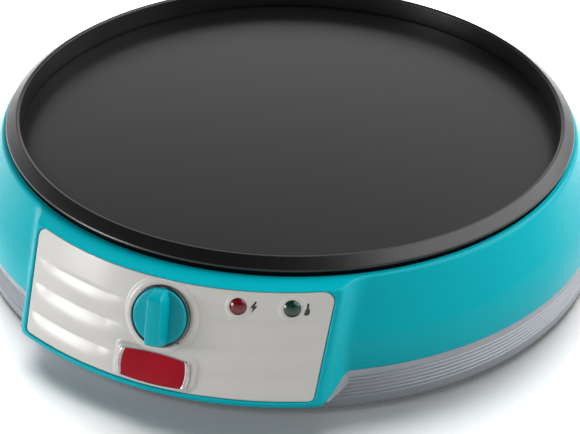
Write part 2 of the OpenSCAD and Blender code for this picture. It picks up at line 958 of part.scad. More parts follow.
module lower_housing() {
    gland_room = gland_flange_d + 3;
    color([0.68, 0.69, 0.71])
        difference() {
            union() {
                rotate_extrude()
                    polygon(concat(base_outline(), [[base_in_r, z_seam], [base_in_r, z_base]]));
                translate([0, 0, z_floor])
                    cylinder(r = base_in_r + slit, h = floor_t);
                base_spigot(gland_room);
                base_chin();
                ring_of(case_screw_count, case_screw_r)
                    translate([0, 0, z_floor])
                        cylinder(d = well_d, h = z_boss - z_floor);
                for (side = [-1, 1])
                    translate([side * clamp_x, clamp_y, z_inside - slit])
                        cylinder(d = clamp_post_d, h = clamp_post_h + slit);
            }
            ring_of(case_screw_count, case_screw_r) {
                translate([0, 0, z_floor - slit])
                    cylinder(d = case_head_d + 2 * part_gap, h = well_sink + slit);
                translate([0, 0, z_floor])
                    cylinder(d = case_screw_d + 2 * part_gap, h = far);
            }
            ring_of(foot_count, foot_ring_r, diagonal)
                translate([0, 0, z_floor - slit])
                    cylinder(d = foot_stem_d + part_gap, h = floor_t + 2 * slit);
            translate([0, base_in_r - weld, z_cord])
                rotate([-90, 0, 0])
                    cylinder(d = gland_neck_d + part_gap, h = base_wall + 2 * weld);
            ring_of(slot_count, slot_in_r, 360 / slot_count / 2)
                translate([0, -slot_w / 2, z_floor - slit])
                    cube([slot_l, slot_w, floor_t + 2 * slit]);
            for (side = [-1, 1])
                translate([side * clamp_x, clamp_y, z_inside + clamp_post_h - small_thread])
                    cylinder(d = small_screw_d + screw_slack, h = small_thread + slit);
        }
}

// Ring that locates the upper housing, left open at the block and at the cord
module base_spigot(gland_room) {
    beside_block = 10;
    opening = panel_top_w + 2 * beside_block;
    difference() {
        union() {
            translate([0, 0, z_seam - spigot_down])
                tube(2 * spigot_r, 2 * (spigot_r - spigot_t), spigot_down + spigot_up);
            translate([0, 0, z_seam - spigot_down])
                tube(2 * base_in_r + weld, 2 * (spigot_r - spigot_t), spigot_down - weld);
        }
        translate([-opening / 2, -far, 0])
            cube([opening, far, far]);
        translate([-gland_room / 2, 0, 0])
            cube([gland_room, far, far]);
    }
}

// Wedge under the control block
module base_chin() {
    inner = rho_ledge - chin_back;
    between_cheeks(0)
        panel_ring([
            [inner, z_block],
            [rho_sole - 2 * seam_gap, z_block],
            [rho_ledge, z_seam - seam_gap],
            [inner, z_seam - seam_gap]
        ], chin_angle);
}

module case_screws() {
    color([0.2, 0.2, 0.21])
        ring_of(case_screw_count, case_screw_r)
            translate([0, 0, z_floor + well_sink])
                screw(case_screw_d, z_boss - z_floor - well_sink + case_thread, case_head_d, case_head_h);
}

module feet() {
    color([0.12, 0.12, 0.12])
        ring_of(foot_count, foot_ring_r, diagonal)
            rotate_extrude()
                polygon(rounded([
                    [0, 0, 0],
                    [foot_d / 2, 0, 1],
                    [foot_d / 2, z_floor, 0],
                    [foot_stem_d / 2, z_floor, 0],
                    [foot_stem_d / 2, z_inside, 0],
                    [foot_head_d / 2, z_inside, 0],
                    [foot_stem_d / 2, z_inside + foot_head_h, 0],
                    [0, z_inside + foot_head_h, 0]
                ]));
}

// ---- fascia and controls ----

module fascia() {
    color([0.88, 0.87, 0.85])
        difference() {
            union() {
                difference() {
                    fascia_blank(0, -fascia_t, 0);
                    fascia_waves();
                }
                intersection() {
                    fascia_blank(0, -fascia_t, fascia_corner);
                    union() {
                        on_spindle()
                            translate([0, 0, -fascia_t])
                                cylinder(d = surround_d, h = fascia_t + surround_h);
                        on_panel(0, badge_slant)
                            translate([0, 0, -fascia_t])
                                pill(badge_w + 2 * badge_pad_w, badge_h + 2 * badge_pad_h,
                                     fascia_t + surround_h, badge_corner + badge_pad_h);
                        for (x = [red_x, green_x])
                            on_panel(x, lamp_slant)
                                translate([0, 0, -fascia_t])
                                    cylinder(d = lamp_ring_d, h = fascia_t + lamp_ring_h);
                    }
                }
                for (p = peg_places)
                    on_panel(p.x, p.y)
                        translate([0, 0, -fascia_t - peg_l])
                            cylinder(d = peg_d, h = peg_l + weld);
            }
            on_spindle()
                translate([0, 0, -far / 2])
                    cylinder(d = hub_d + 2 * hub_gap, h = far);
            for (x = [red_x, green_x])
                on_panel(x, lamp_slant)
                    translate([0, 0, -fascia_t - weld])
                        cylinder(d = lens_d + part_gap, h = fascia_t + lamp_ring_h + 2 * weld);
            for (p = peg_places)
                on_panel(p.x, p.y)
                    translate([0, 0, -fascia_t - peg_l - slit])
                        cylinder(d = peg_thread_d + screw_slack, h = peg_thread + thread_room);
        }
}

module fascia_screws() {
    peg_head_d = 7;
    peg_head_h = 1.8;
    color([0.78, 0.78, 0.8])
        for (p = peg_places)
            on_panel(p.x, p.y)
                translate([0, 0, -fascia_t - peg_l])
                    screw(peg_thread_d, peg_thread, peg_head_d, peg_head_h);
}

module knob() {
    color([0.02, 0.62, 0.68])
        on_spindle()
            difference() {
                union() {
                    translate([0, 0, knob_z])
                        rotate_extrude()
                            polygon(rounded([
                                [0, 0, 0], [knob_r, 0, 0],
                                [knob_r, knob_disc_h, knob_edge], [0, knob_disc_h, 0]
                            ]));
                    knob_grip();
                    translate([0, 0, -hub_end])
                        cylinder(d = hub_d, h = hub_l + weld);
                }
                spindle_end(d_gap, spindle_out + d_gap, -hub_end - weld);
                translate([0, 0, -hub_end - slit])
                    cylinder(d = clip_recess_d, h = clip_ring_l + slit);
            }
}

// Upright bar across the knob, trimmed to the knob's round and domed on top
module knob_grip() {
    centre = knob_z + knob_h - grip_dome;
    intersection() {
        translate([-grip_w / 2, -knob_r, knob_z])
            cube([grip_w, 2 * knob_r, knob_h]);
        translate([0, 0, knob_z])
            cylinder(r = knob_r - grip_inset, h = knob_h);
        translate([-grip_w, 0, centre])
            rotate([0, 90, 0])
                cylinder(r = grip_dome, h = 2 * grip_w, $fn = 180);
    }
}

// D-shaped end of the spindle, grown by gap, from low up to high
module spindle_end(gap, high, low) {
    intersection() {
        translate([0, 0, low])
            cylinder(d = spindle_d + 2 * gap, h = high - low);
        translate([-spindle_d, -spindle_d, low - weld])
            cube([2 * spindle_d, 1.5 * spindle_d - flat_depth + gap, high - low + 2 * weld]);
    }
}

module knob_clip() {
    gap_w = 1.6;
    ring_gap = 0.06;
    color([0.7, 0.7, 0.72])
        on_spindle()
            translate([0, 0, -hub_end])
                difference() {
                    tube(spindle_d + 2 * clip_ring_t, spindle_d + 2 * ring_gap, clip_ring_l);
                    translate([-gap_w / 2, -spindle_d, -slit])
                        cube([gap_w, spindle_d, clip_ring_l + 2 * slit]);
                }
}

module knob_bezel() {
    color([0.3, 0.3, 0.31])
        on_spindle()
            translate([0, 0, surround_h])
                rotate_extrude()
                    polygon(rounded([
                        [bezel_d / 2 - bezel_w, 0, 0], [bezel_d / 2, 0, 0],
                        [bezel_d / 2, bezel_h, bezel_edge], [bezel_d / 2 - bezel_w, bezel_h, bezel_edge]
                    ]));
}

module badge_frame() {
    inset_w = badge_w - 2 * badge_frame_w;
    inset_h = badge_h - 2 * badge_frame_w;
    color([0.8, 0.8, 0.82])
        on_panel(0, badge_slant)
            translate([0, 0, surround_h])
                difference() {
                    pill(badge_w, badge_h, badge_t, badge_corner);
                    translate([0, 0, badge_back])
                        pill(inset_w, inset_h, badge_t, badge_corner - badge_frame_w / 2);
                }
}

module badge_plate() {
    slack = 0.1;
    margin = 2 * (badge_frame_w + slack);
    color([0.6, 0.03, 0.1])
        on_panel(0, badge_slant)
            translate([0, 0, surround_h + badge_back])
                pill(badge_w - margin, badge_h - margin, badge_t - badge_back - badge_recess,
                     badge_corner - badge_frame_w / 2 - slack);
}

module lamp_lens(x) {
    r = lens_d / 2;
    dome_r = (r * r + lens_dome * lens_dome) / (2 * lens_dome);
    on_panel(x, lamp_slant) {
        translate([0, 0, -fascia_t - curve_room - lens_flange_t])
            cylinder(d = lens_flange_d, h = lens_flange_t);
        translate([0, 0, -fascia_t - curve_room - slit])
            cylinder(d = lens_d, h = fascia_t + curve_room + lamp_ring_h + slit);
        intersection() {
            translate([0, 0, lamp_ring_h + lens_dome - dome_r])
                sphere(r = dome_r);
            translate([0, 0, lamp_ring_h])
                cylinder(d = lens_d, h = lens_dome + weld);
        }
    }
}

module red_lens() {
    color([0.4, 0.04, 0.09])
        lamp_lens(red_x);
}

module green_lens() {
    color([0.04, 0.3, 0.22])
        lamp_lens(green_x);
}

module glow_lamps() {
    color([0.95, 0.75, 0.5, 0.6])
        for (x = [red_x, green_x])
            on_panel(x, lamp_slant)
                translate([0, 0, -glow_back - glow_l]) {
                    cylinder(d = glow_d, h = glow_l - glow_d / 2);
                    translate([0, 0, glow_l - glow_d / 2])
                        sphere(d = glow_d);
                }
}

module lamp_holders() {
    front = fascia_t + curve_room + lens_flange_t;
    color([0.9, 0.9, 0.88])
        for (x = [red_x, green_x])
            on_panel(x, lamp_slant)
                translate([0, 0, -front - holder_l])
                    tube(holder_d, glow_d + part_gap, holder_l);
}

// ---- thermostat ----

module thermostat_bracket() {
    color([0.7, 0.71, 0.73])
        on_spindle()
            difference() {
                translate([0, bracket_lift, -bracket_in - bracket_t])
                    pill(bracket_w, bracket_h, bracket_t, bracket_corner);
                translate([0, 0, -far / 2])
                    cylinder(d = bush_d + screw_slack, h = far);
                for (side = [-1, 1])
                    translate([side * bracket_screw_x, bracket_screw_y, -far / 2])
                        cylinder(d = small_screw_d + plate_hole_slack, h = far);
            }
}

module bracket_screws() {
    color([0.78, 0.78, 0.8])
        on_spindle()
            for (side = [-1, 1])
                translate([side * bracket_screw_x, bracket_screw_y, -bracket_in - bracket_t])
                    screw(small_screw_d, bracket_t + bracket_thread, small_head_d, small_head_h);
}

module thermostat_frame() {
    color([0.62, 0.63, 0.65])
        on_spindle()
            difference() {
                translate([-stack_reach - frame_past, -frame_strip_w / 2, -bracket_in - bracket_t - frame_t])
                    cube([stack_reach + 2 * frame_past, frame_strip_w, frame_t]);
                translate([0, 0, -far / 2])
                    cylinder(d = bush_d + screw_slack, h = far);
                translate([-stack_reach, 0, -far / 2])
                    cylinder(d = rivet_d + screw_slack, h = far);
            }
}

module spindle_bush() {
    flange_d = bush_d + 3;
    flange_t = 1.2;
    face = bracket_in + bracket_t + frame_t;
    front = hub_end + part_gap;
    color([0.78, 0.66, 0.36])
        on_spindle()
            difference() {
                union() {
                    translate([0, 0, -bush_in])
                        cylinder(d = bush_d, h = bush_in - front);
                    translate([0, 0, -face - flange_t])
                        cylinder(d = flange_d, h = flange_t);
                }
                translate([0, 0, -bore_in])
                    cylinder(d = spindle_d + 2 * running_gap, h = far);
                translate([0, 0, -far / 2])
                    cylinder(d = pin_d + 2 * running_gap, h = far);
            }
}

module bush_nut() {
    color([0.72, 0.72, 0.74])
        on_spindle()
            translate([0, 0, -bracket_in])
                difference() {
                    cylinder(d = nut_af / cos(30), h = nut_t, $fn = 6);
                    translate([0, 0, -slit])
                        cylinder(d = bush_d + screw_slack, h = nut_t + 2 * slit);
                }
}

module spindle() {
    color([0.75, 0.76, 0.78])
        on_spindle() {
            translate([0, 0, -spindle_in])
                cylinder(d = spindle_d, h = spindle_in - hub_l);
            spindle_end(0, spindle_out, -hub_l - slit);
        }
}

module adjuster_pin() {
    color([0.93, 0.92, 0.88])
        on_spindle()
            translate([0, 0, -pin_rest - pin_l])
                cylinder(d = pin_d, h = pin_l);
}

// A contact leaf from the stack's edge to past the spindle's axis
module leaf(depth, t, w, past) {
    translate([-leaf_root, -w / 2, -depth - t])
        cube([leaf_root + past, w, t]);
}

module upper_contact_arm() {
    color([0.8, 0.6, 0.4])
        on_spindle() {
            leaf(arm_in, arm_t, arm_w, arm_past);
            translate([contact_x, 0, -arm_in - arm_t - contact_h])
                cylinder(d = contact_d, h = contact_h);
        }
}

module lower_contact_arm() {
    color([0.8, 0.6, 0.4])
        on_spindle()
            difference() {
                union() {
                    leaf(lower_in, arm_t, arm_w, arm_past);
                    translate([contact_x, 0, -lower_in])
                        cylinder(d = contact_d, h = contact_h);
                }
                translate([bead_x, 0, -far / 2])
                    cylinder(d = bead_hole_d, h = far);
            }
}

module bimetal_strip() {
    color([0.7, 0.68, 0.62])
        on_spindle() {
            leaf(bimetal_in, bimetal_t, arm_w, bimetal_past);
            translate([bead_x, 0, -bimetal_in])
                cylinder(d = bead_d, h = bead_l);
        }
}

// Clamped roots of the three leaves, with the two push-on tabs
module contact_tabs() {
    ring_room = rivet_d + 2;
    color([0.85, 0.72, 0.42])
        on_spindle() {
            for (leaf_in = [arm_in, lower_in]) {
                translate([-stack_reach, 0, -leaf_in - arm_t])
                    tube(stack_d, rivet_d + screw_slack, arm_t);
                translate([-stack_reach - tab_w / 2, 0, -leaf_in - arm_t])
                    difference() {
                        cube([tab_w, stack_d / 2 + tab_l, arm_t]);
                        translate([tab_w / 2, 0, -slit])
                            cylinder(d = ring_room, h = arm_t + 2 * slit);
                    }
            }
            translate([-stack_reach, 0, -bimetal_in - bimetal_t])
                tube(stack_d, rivet_d + screw_slack, bimetal_t);
        }
}

module stack_spacers() {
    face = bracket_in + bracket_t + frame_t;
    levels = [
        [face, arm_in], [arm_in + arm_t, lower_in], [lower_in + arm_t, bimetal_in],
        [bimetal_in + bimetal_t, stack_end]
    ];
    color([0.92, 0.9, 0.84])
        on_spindle()
            for (level = levels)
                translate([-stack_reach, 0, -level[1]])
                    tube(stack_d, rivet_d + screw_slack, level[1] - level[0]);
}

module stack_rivet() {
    face = bracket_in + bracket_t;
    color([0.75, 0.75, 0.77])
        on_spindle()
            translate([-stack_reach, 0, -stack_end - rivet_head_t]) {
                cylinder(d = rivet_head_d, h = rivet_head_t);
                cylinder(d = rivet_d, h = stack_end - face + rivet_head_t);
            }
}

// ---- wiring and cord entry ----

module terminal_block() {
    color([0.9, 0.89, 0.86])
        difference() {
            translate([-terminal_w / 2, block_y - terminal_depth / 2, z_inside])
                cube([terminal_w, terminal_depth, terminal_h]);
            for (x = [-terminal_pole, 0, terminal_pole]) {
                translate([x, block_y - terminal_depth, z_inside + terminal_h / 2])
                    rotate([-90, 0, 0])
                        cylinder(d = terminal_bore_d, h = 2 * terminal_depth);
                for (side = [-1, 1])
                    translate([x, block_y + side * terminal_depth / 4, z_inside + terminal_h / 2])
                        cylinder(d = small_screw_d + screw_slack, h = terminal_h);
            }
        }
}

module terminal_screws() {
    screw_l = (terminal_h - terminal_bore_d) / 2;
    color([0.82, 0.7, 0.36])
        for (x = [-terminal_pole, 0, terminal_pole], side = [-1, 1])
            translate([x, block_y + side * terminal_depth / 4, z_inside + terminal_h])
                rotate([180, 0, 0])
                    screw(small_screw_d, screw_l, terminal_head_d, terminal_head_h);
}

module cord_gland() {
    color([0.1, 0.1, 0.1])
        translate([0, 0, z_cord])
            rotate([-90, 0, 0])
                difference() {
                    union() {
                        translate([0, 0, gland_inside - gland_inner_t])
                            cylinder(d = gland_flange_d, h = gland_inner_t);
                        translate([0, 0, gland_inside - slit])
                            cylinder(d = gland_neck_d, h = gland_outside - gland_inside + 2 * slit);
                        translate([0, 0, gland_outside])
                            cylinder(d = gland_flange_d, h = gland_flange_t);
                    }
                    cylinder(d = cord_bore_d, h = far);
                }
}

module cord_clamp() {
    color([0.85, 0.85, 0.83])
        difference() {
            translate([-clamp_w / 2, clamp_y - clamp_depth / 2, z_inside + clamp_post_h])
                cube([clamp_w, clamp_depth, clamp_t]);
            for (side = [-1, 1])
                translate([side * clamp_x, clamp_y, z_inside])
                    cylinder(d = small_screw_d + plate_hole_slack, h = far);
        }
}

module cord_clamp_screws() {
    color([0.78, 0.78, 0.8])
        for (side = [-1, 1])
            translate([side * clamp_x, clamp_y, z_inside + clamp_post_h + clamp_t])
                rotate([180, 0, 0])
                    screw(small_screw_d, clamp_t + small_thread - thread_room, small_head_d, small_head_h);
}

// Leads from the terminal block to the lower contact's tab and to one of the tube's pins
module wiring() {
    lay = z_inside + wire_d / 2 + wire_gap;
    pole_y = block_y - terminal_depth / 2 - wire_gap;
    pole_z = z_inside + terminal_h / 2;
    pin = element_ring_d / 2 * [cos(element_start), sin(element_start)];
    pin_end = z_tube - element_leg - cold_pin_l - wire_gap;
    tab_y = stack_d / 2 + tab_l / 2;
    tab_in = lower_in + arm_t + wire_gap;
    color([0.85, 0.83, 0.78]) {
        wire([
            [-terminal_pole, pole_y, pole_z], [-terminal_pole, pole_y - wire_stub, pole_z],
            [-terminal_pole, pole_y - 2 * wire_stub, lay], [-stack_reach, wire_low_y, lay],
            [-stack_reach, wire_rise_y, lay + wire_stub],
            spindle_pt([-stack_reach, tab_y, -tab_in - wire_stub]),
            spindle_pt([-stack_reach, tab_y, -tab_in])
        ], wire_d);
        wire([
            [terminal_pole, pole_y, pole_z], [terminal_pole, pole_y - wire_stub, pole_z],
            [terminal_pole, pole_y - 2 * wire_stub, lay], [pin.x, pin.y + 4 * wire_stub, lay],
            [pin.x, pin.y, lay + wire_stub], [pin.x, pin.y, pin_end]
        ], wire_d);
    }
}

cooking_plate();
plate_spacers();
plate_screws();
heating_element();
element_pins();
element_clips();
clip_screws();
thermal_fuse();
heat_reflector();
reflector_screws();
upper_housing();
lower_housing();
case_screws();
feet();
fascia();
fascia_screws();
knob();
knob_clip();
knob_bezel();
badge_frame();
badge_plate();
red_lens();
green_lens();
glow_lamps();
lamp_holders();
thermostat_bracket();
bracket_screws();
thermostat_frame();
spindle_bush();
bush_nut();
spindle();
adjuster_pin();
upper_contact_arm();
lower_contact_arm();
bimetal_strip();
contact_tabs();
stack_spacers();
stack_rivet();
terminal_block();
terminal_screws();
cord_gland();
cord_clamp();
cord_clamp_screws();
wiring();
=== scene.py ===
"""Electric crepe maker: camera, light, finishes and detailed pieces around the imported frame.

Shapes are worked out in millimetres, in the frame's own axes, and scaled to metres as each mesh is made.
"""
import json
import math

import bmesh
import bpy
import numpy as np
from mathutils import Matrix, Quaternion, Vector


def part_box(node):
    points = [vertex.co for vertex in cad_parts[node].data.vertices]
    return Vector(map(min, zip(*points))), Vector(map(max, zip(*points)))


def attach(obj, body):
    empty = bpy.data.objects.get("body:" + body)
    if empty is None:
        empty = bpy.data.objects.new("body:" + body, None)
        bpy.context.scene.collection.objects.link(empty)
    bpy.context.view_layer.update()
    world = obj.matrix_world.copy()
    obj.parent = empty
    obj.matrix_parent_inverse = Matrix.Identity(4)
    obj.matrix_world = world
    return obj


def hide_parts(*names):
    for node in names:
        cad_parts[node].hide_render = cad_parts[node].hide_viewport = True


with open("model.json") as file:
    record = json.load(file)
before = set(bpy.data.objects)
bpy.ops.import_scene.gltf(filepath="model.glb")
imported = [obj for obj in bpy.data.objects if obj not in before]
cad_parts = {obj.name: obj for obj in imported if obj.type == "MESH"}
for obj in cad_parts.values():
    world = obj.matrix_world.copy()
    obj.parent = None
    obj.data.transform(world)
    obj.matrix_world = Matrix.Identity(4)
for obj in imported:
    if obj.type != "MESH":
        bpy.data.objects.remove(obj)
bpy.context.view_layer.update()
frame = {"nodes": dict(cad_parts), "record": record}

MM = 0.001


def box_mm(node):
    """Lowest and highest corner of a node, in millimetres."""
    return [np.array(corner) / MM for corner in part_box(node)]


# ---- sizes, in millimetres ----

BLOCK_DROP = 2.4
RIM_RISE = 11.98

RIM_R = round(box_mm("cooking_plate")[1][0], 2)
BODY_R = round(box_mm("lower_housing")[1][0], 2)
Z_BASE = round(box_mm("lower_housing")[0][2], 2)
Z_BODY = round(box_mm("upper_housing")[1][2], 2)
Z_BLOCK = round(box_mm("upper_housing")[0][2], 2) - BLOCK_DROP
Z_SEAM = Z_BASE + 21.0
Z_COOK = Z_BODY - 4.0
Z_CREST = Z_COOK + RIM_RISE
Z_EDGE = Z_CREST - 4.0
Z_UNDER = Z_COOK - 6.0

COOK_R = RIM_R - 7.5
SKIRT_R = RIM_R - 1.8
LIP_R = SKIRT_R + 0.6
COOK_FILLET = 5.0
WALL = 2.6
SEAM_EDGE = 0.4
TOP_ROUND = 2.5
LOW_ROUND = 3.2
SOLE_W = 4.0
LEDGE_W = 14.6
CREASE_RISE = 0.94
SIDE_LEAN = math.radians(28)
SIDE_BEND = 48.0
Z_BEND = Z_SEAM + SIDE_BEND * math.sin(SIDE_LEAN)

PANEL_OFFSET = 10.0
PANEL_ANGLE = math.radians(65.4)
RHO_TOP = RIM_R + 11.8 - PANEL_OFFSET
Z_PANEL = Z_BODY - 0.6
PANEL_SLANT = 51.6
TOP_HALF = 152.6 / 2
BOTTOM_HALF = 149.4 / 2
FASCIA_T = 2.4
FASCIA_CORNER = 6.0
FASCIA_CORNER_LOW = 2.5
FRAME_W = 2.8
FRAME_PROUD = 0.5
CHEEK_YAW = math.radians(15.2)
CHEEK_TILT = math.radians(8.1)

KNOB_SLANT = 17.3
KNOB_R = 13.4
KNOB_GAP = 0.3
DISC_H = 2.3
GRIP_H = 8.4
GRIP_FOOT = 4.9
GRIP_LEAN = math.radians(4.5)
SURROUND_R = 17.5
SURROUND_H = 0.8
BEZEL_R = 14.8
LAMP_SLANT = 7.3
GREEN_X = TOP_HALF - 17.6
RED_X = GREEN_X - 23.7
LENS_R = 3.9
LAMP_RING_R = 5.5
LAMP_RING_H = 0.5
BADGE_SLANT = 42.5
BADGE_W = 36.0
BADGE_H = 15.2
BADGE_BOW = 1.3
BADGE_END_BOW = 0.6
BADGE_CORNER = 1.8
BADGE_SINK = 0.35
BADGE_LIP = 1.2


# ---- meshes ----

def grid_faces(rows, cols, wrap_rows=False, wrap_cols=False, first=0):
    """Quads over a grid of vertices kept row by row."""
    faces = []
    for i in range(rows if wrap_rows else rows - 1):
        for j in range(cols if wrap_cols else cols - 1):
            a = first + i * cols + j
            b = first + i * cols + (j + 1) % cols
            c = first + (i + 1) % rows * cols + (j + 1) % cols
            d = first + (i + 1) % rows * cols + j
            faces.append((a, b, c, d))
    return faces


def new_object(name, points, faces, place=None):
    """An object from points in millimetres, with its faces turned outwards. place is in millimetres too."""
    mesh = bpy.data.meshes.new(name)
    mesh.from_pydata([tuple(p) for p in np.asarray(points, float)], [], faces)
    if place is not None:
        mesh.transform(place)
    mesh.transform(Matrix.Scale(MM, 4))
    work = bmesh.new()
    work.from_mesh(mesh)
    bmesh.ops.remove_doubles(work, verts=work.verts, dist=1e-7)
    bmesh.ops.recalc_face_normals(work, faces=work.faces)
    work.to_mesh(mesh)
    work.free()
    obj = bpy.data.objects.new(name, mesh)
    bpy.context.scene.collection.objects.link(obj)
    return obj


def smooth(obj, angle):
    """Smooth shading, but for edges sharper than an angle in degrees."""
    obj.data.shade_smooth()
    obj.data.set_sharp_from_angle(angle=math.radians(angle))
    return obj


def piece(obj, body, slot, nodes=(), material=None):
    """Gives a finished object its body and a material, the given one or its slot's, and hides the nodes that
    it stands for.
    """
    obj.data.materials.clear()
    obj.data.materials.append(material or MATERIALS[slot])
    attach(obj, body)
    if nodes:
        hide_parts(*nodes)
    return obj


def corner_arc(a, b, c, r, steps):
    """Points of an arc of radius r that rounds corner b between a and c."""
    a, b, c = (np.array(p, float) for p in (a, b, c))
    u = (a - b) / np.linalg.norm(a - b)
    v = (c - b) / np.linalg.norm(c - b)
    half = math.acos(np.clip(u @ v, -1, 1)) / 2
    centre = b + (u + v) / np.linalg.norm(u + v) * r / math.sin(half)
    start = b + u * r / math.tan(half) - centre
    end = b + v * r / math.tan(half) - centre
    a0 = math.atan2(start[1], start[0])
    turn = (math.atan2(end[1], end[0]) - a0 + math.pi) % (2 * math.pi) - math.pi
    return [centre + r * np.array([math.cos(a0 + turn * k / steps), math.sin(a0 + turn * k / steps)])
            for k in range(steps + 1)]


def rounded(corners, steps=6):
    """Outline through (x, y, radius) corners, with each radius over zero rounded."""
    outline = []
    for i, (x, y, r) in enumerate(corners):
        before, after = corners[i - 1], corners[(i + 1) % len(corners)]
        outline += corner_arc(before[:2], (x, y), after[:2], r, steps) if r else [np.array([x, y], float)]
    return outline


def lathe(name, outline, steps=240, place=None):
    """Turns a closed (radius, height) outline about Z. One that starts and ends on the axis is a disc."""
    outline = np.array(outline, float)
    turn = np.arange(steps) * 2 * math.pi / steps
    on_axis = outline[0][0] < 1e-6 and outline[-1][0] < 1e-6
    ring = outline[1:-1] if on_axis else outline
    points = np.stack([
        ring[:, :1] * np.cos(turn), ring[:, :1] * np.sin(turn), np.repeat(ring[:, 1:], steps, 1)
    ], -1).reshape(-1, 3)
    faces = grid_faces(len(ring), steps, wrap_rows=not on_axis, wrap_cols=True)
    if on_axis:
        last = (len(ring) - 1) * steps
        points = np.vstack([points, [0, 0, outline[0][1]], [0, 0, outline[-1][1]]])
        for j in range(steps):
            faces.append((len(points) - 2, (j + 1) % steps, j))
            faces.append((len(points) - 1, last + j, last + (j + 1) % steps))
    return new_object(name, points, faces, place)


def cut(obj, *cutters):
    """Takes cutters out of an object and deletes them."""
    for cutter in cutters:
        tool = obj.modifiers.new("cut", "BOOLEAN")
        tool.operation = "DIFFERENCE"
        tool.solver = "EXACT"
        tool.object = cutter
        bpy.context.view_layer.update()
        shaped = bpy.data.meshes.new_from_object(obj.evaluated_get(bpy.context.evaluated_depsgraph_get()))
        obj.modifiers.clear()
        obj.data = shaped
        bpy.data.objects.remove(cutter)
    return obj


# ---- the control panel's own coordinates ----

def panel_point(x, s, h=0.0):
    """Points x across, s down the slope and h over the fascia's face, in the frame's axes."""
    x, s, h = np.broadcast_arrays(*(np.asarray(v, float) for v in (x, s, h)))
    rho = RHO_TOP + s * math.cos(PANEL_ANGLE)
    turn = np.arcsin(x / rho)
    reach = rho + h * math.sin(PANEL_ANGLE)
    z = Z_PANEL - s * math.sin(PANEL_ANGLE) + h * math.cos(PANEL_ANGLE)
    return np.stack([reach * np.sin(turn), -PANEL_OFFSET - reach * np.cos(turn), z], -1)


def panel_place(x, s, h=0.0):
    """Flat frame that touches the fascia at (x, s): X across, Y up the slope, Z out along the normal."""
    turn = math.asin(x / (RHO_TOP + s * math.cos(PANEL_ANGLE)))
    out = Vector((math.sin(turn), -math.cos(turn), 0))
    across = Vector((math.cos(turn), math.sin(turn), 0))
    normal = out * math.sin(PANEL_ANGLE) + Vector((0, 0, math.cos(PANEL_ANGLE)))
    up = normal.cross(across)
    place = Matrix((across, up, normal)).transposed().to_4x4()
    place.translation = Vector(panel_point(x, s)) + normal * h
    return place


def panel_sag(x, s, x0):
    """How far the curved face lies behind the flat frame that touches it at x0."""
    rho = RHO_TOP + s * math.cos(PANEL_ANGLE)
    apart = np.arcsin(x / rho) - np.arcsin(x0 / rho)
    return rho * (1 - np.cos(apart)) * math.sin(PANEL_ANGLE)


# ---- materials ----

def blank_material(name):
    material = bpy.data.materials.new(name)
    material.use_nodes = True
    return material, material.node_tree.nodes, material.node_tree.links


def noise(nodes, links, scale, detail=4.0, stretch=(1, 1, 1)):
    """Noise in the object's own space, with scale in bumps a metre."""
    where = nodes.new("ShaderNodeTexCoord")
    squeeze = nodes.new("ShaderNodeMapping")
    squeeze.inputs["Scale"].default_value = stretch
    texture = nodes.new("ShaderNodeTexNoise")
    texture.inputs["Scale"].default_value = scale
    texture.inputs["Detail"].default_value = detail
    links.new(where.outputs["Object"], squeeze.inputs["Vector"])
    links.new(squeeze.outputs["Vector"], texture.inputs["Vector"])
    return texture.outputs["Fac"]


def spread(nodes, links, value, low, high, from_low=0.2, from_high=0.8):
    """Stretches the middle of a noise to a range."""
    node = nodes.new("ShaderNodeMapRange")
    node.inputs["From Min"].default_value = from_low
    node.inputs["From Max"].default_value = from_high
    node.inputs["To Min"].default_value = low
    node.inputs["To Max"].default_value = high
    links.new(value, node.inputs["Value"])
    return node.outputs["Result"]


def blended(nodes, links, value, dark, light):
    """Mixes two linear colours by a value."""
    node = nodes.new("ShaderNodeMix")
    node.data_type = "RGBA"
    links.new(value, node.inputs["Factor"])
    node.inputs["A"].default_value = (*dark, 1)
    node.inputs["B"].default_value = (*light, 1)
    return node.outputs["Result"]


def linear(r, g, b):
    """An sRGB colour in 0 to 255 as linear light."""
    shares = [v / 255 for v in (r, g, b)]
    return tuple(v / 12.92 if v <= 0.04045 else ((v + 0.055) / 1.055) ** 2.4 for v in shares)


def finish(name, dark, light, rough, patch, grain, bump, stretch=(1, 1, 1), **sockets):
    """Two close sRGB colours in patches, with uneven gloss and a fine grain in the surface."""
    material, nodes, links = blank_material(name)
    shader = nodes["Principled BSDF"]
    patches = noise(nodes, links, patch, stretch=stretch)
    fine = noise(nodes, links, grain, 2.0, stretch)
    links.new(blended(nodes, links, spread(nodes, links, patches, 0, 1), linear(*dark), linear(*light)),
              shader.inputs["Base Color"])
    links.new(spread(nodes, links, patches, *rough), shader.inputs["Roughness"])
    relief = nodes.new("ShaderNodeBump")
    relief.inputs["Strength"].default_value = bump
    relief.inputs["Distance"].default_value = 0.1 * MM
    links.new(fine, relief.inputs["Height"])
    links.new(relief.outputs["Normal"], shader.inputs["Normal"])
    for socket, value in sockets.items():
        shader.inputs[socket.replace("_", " ")].default_value = value
    return material


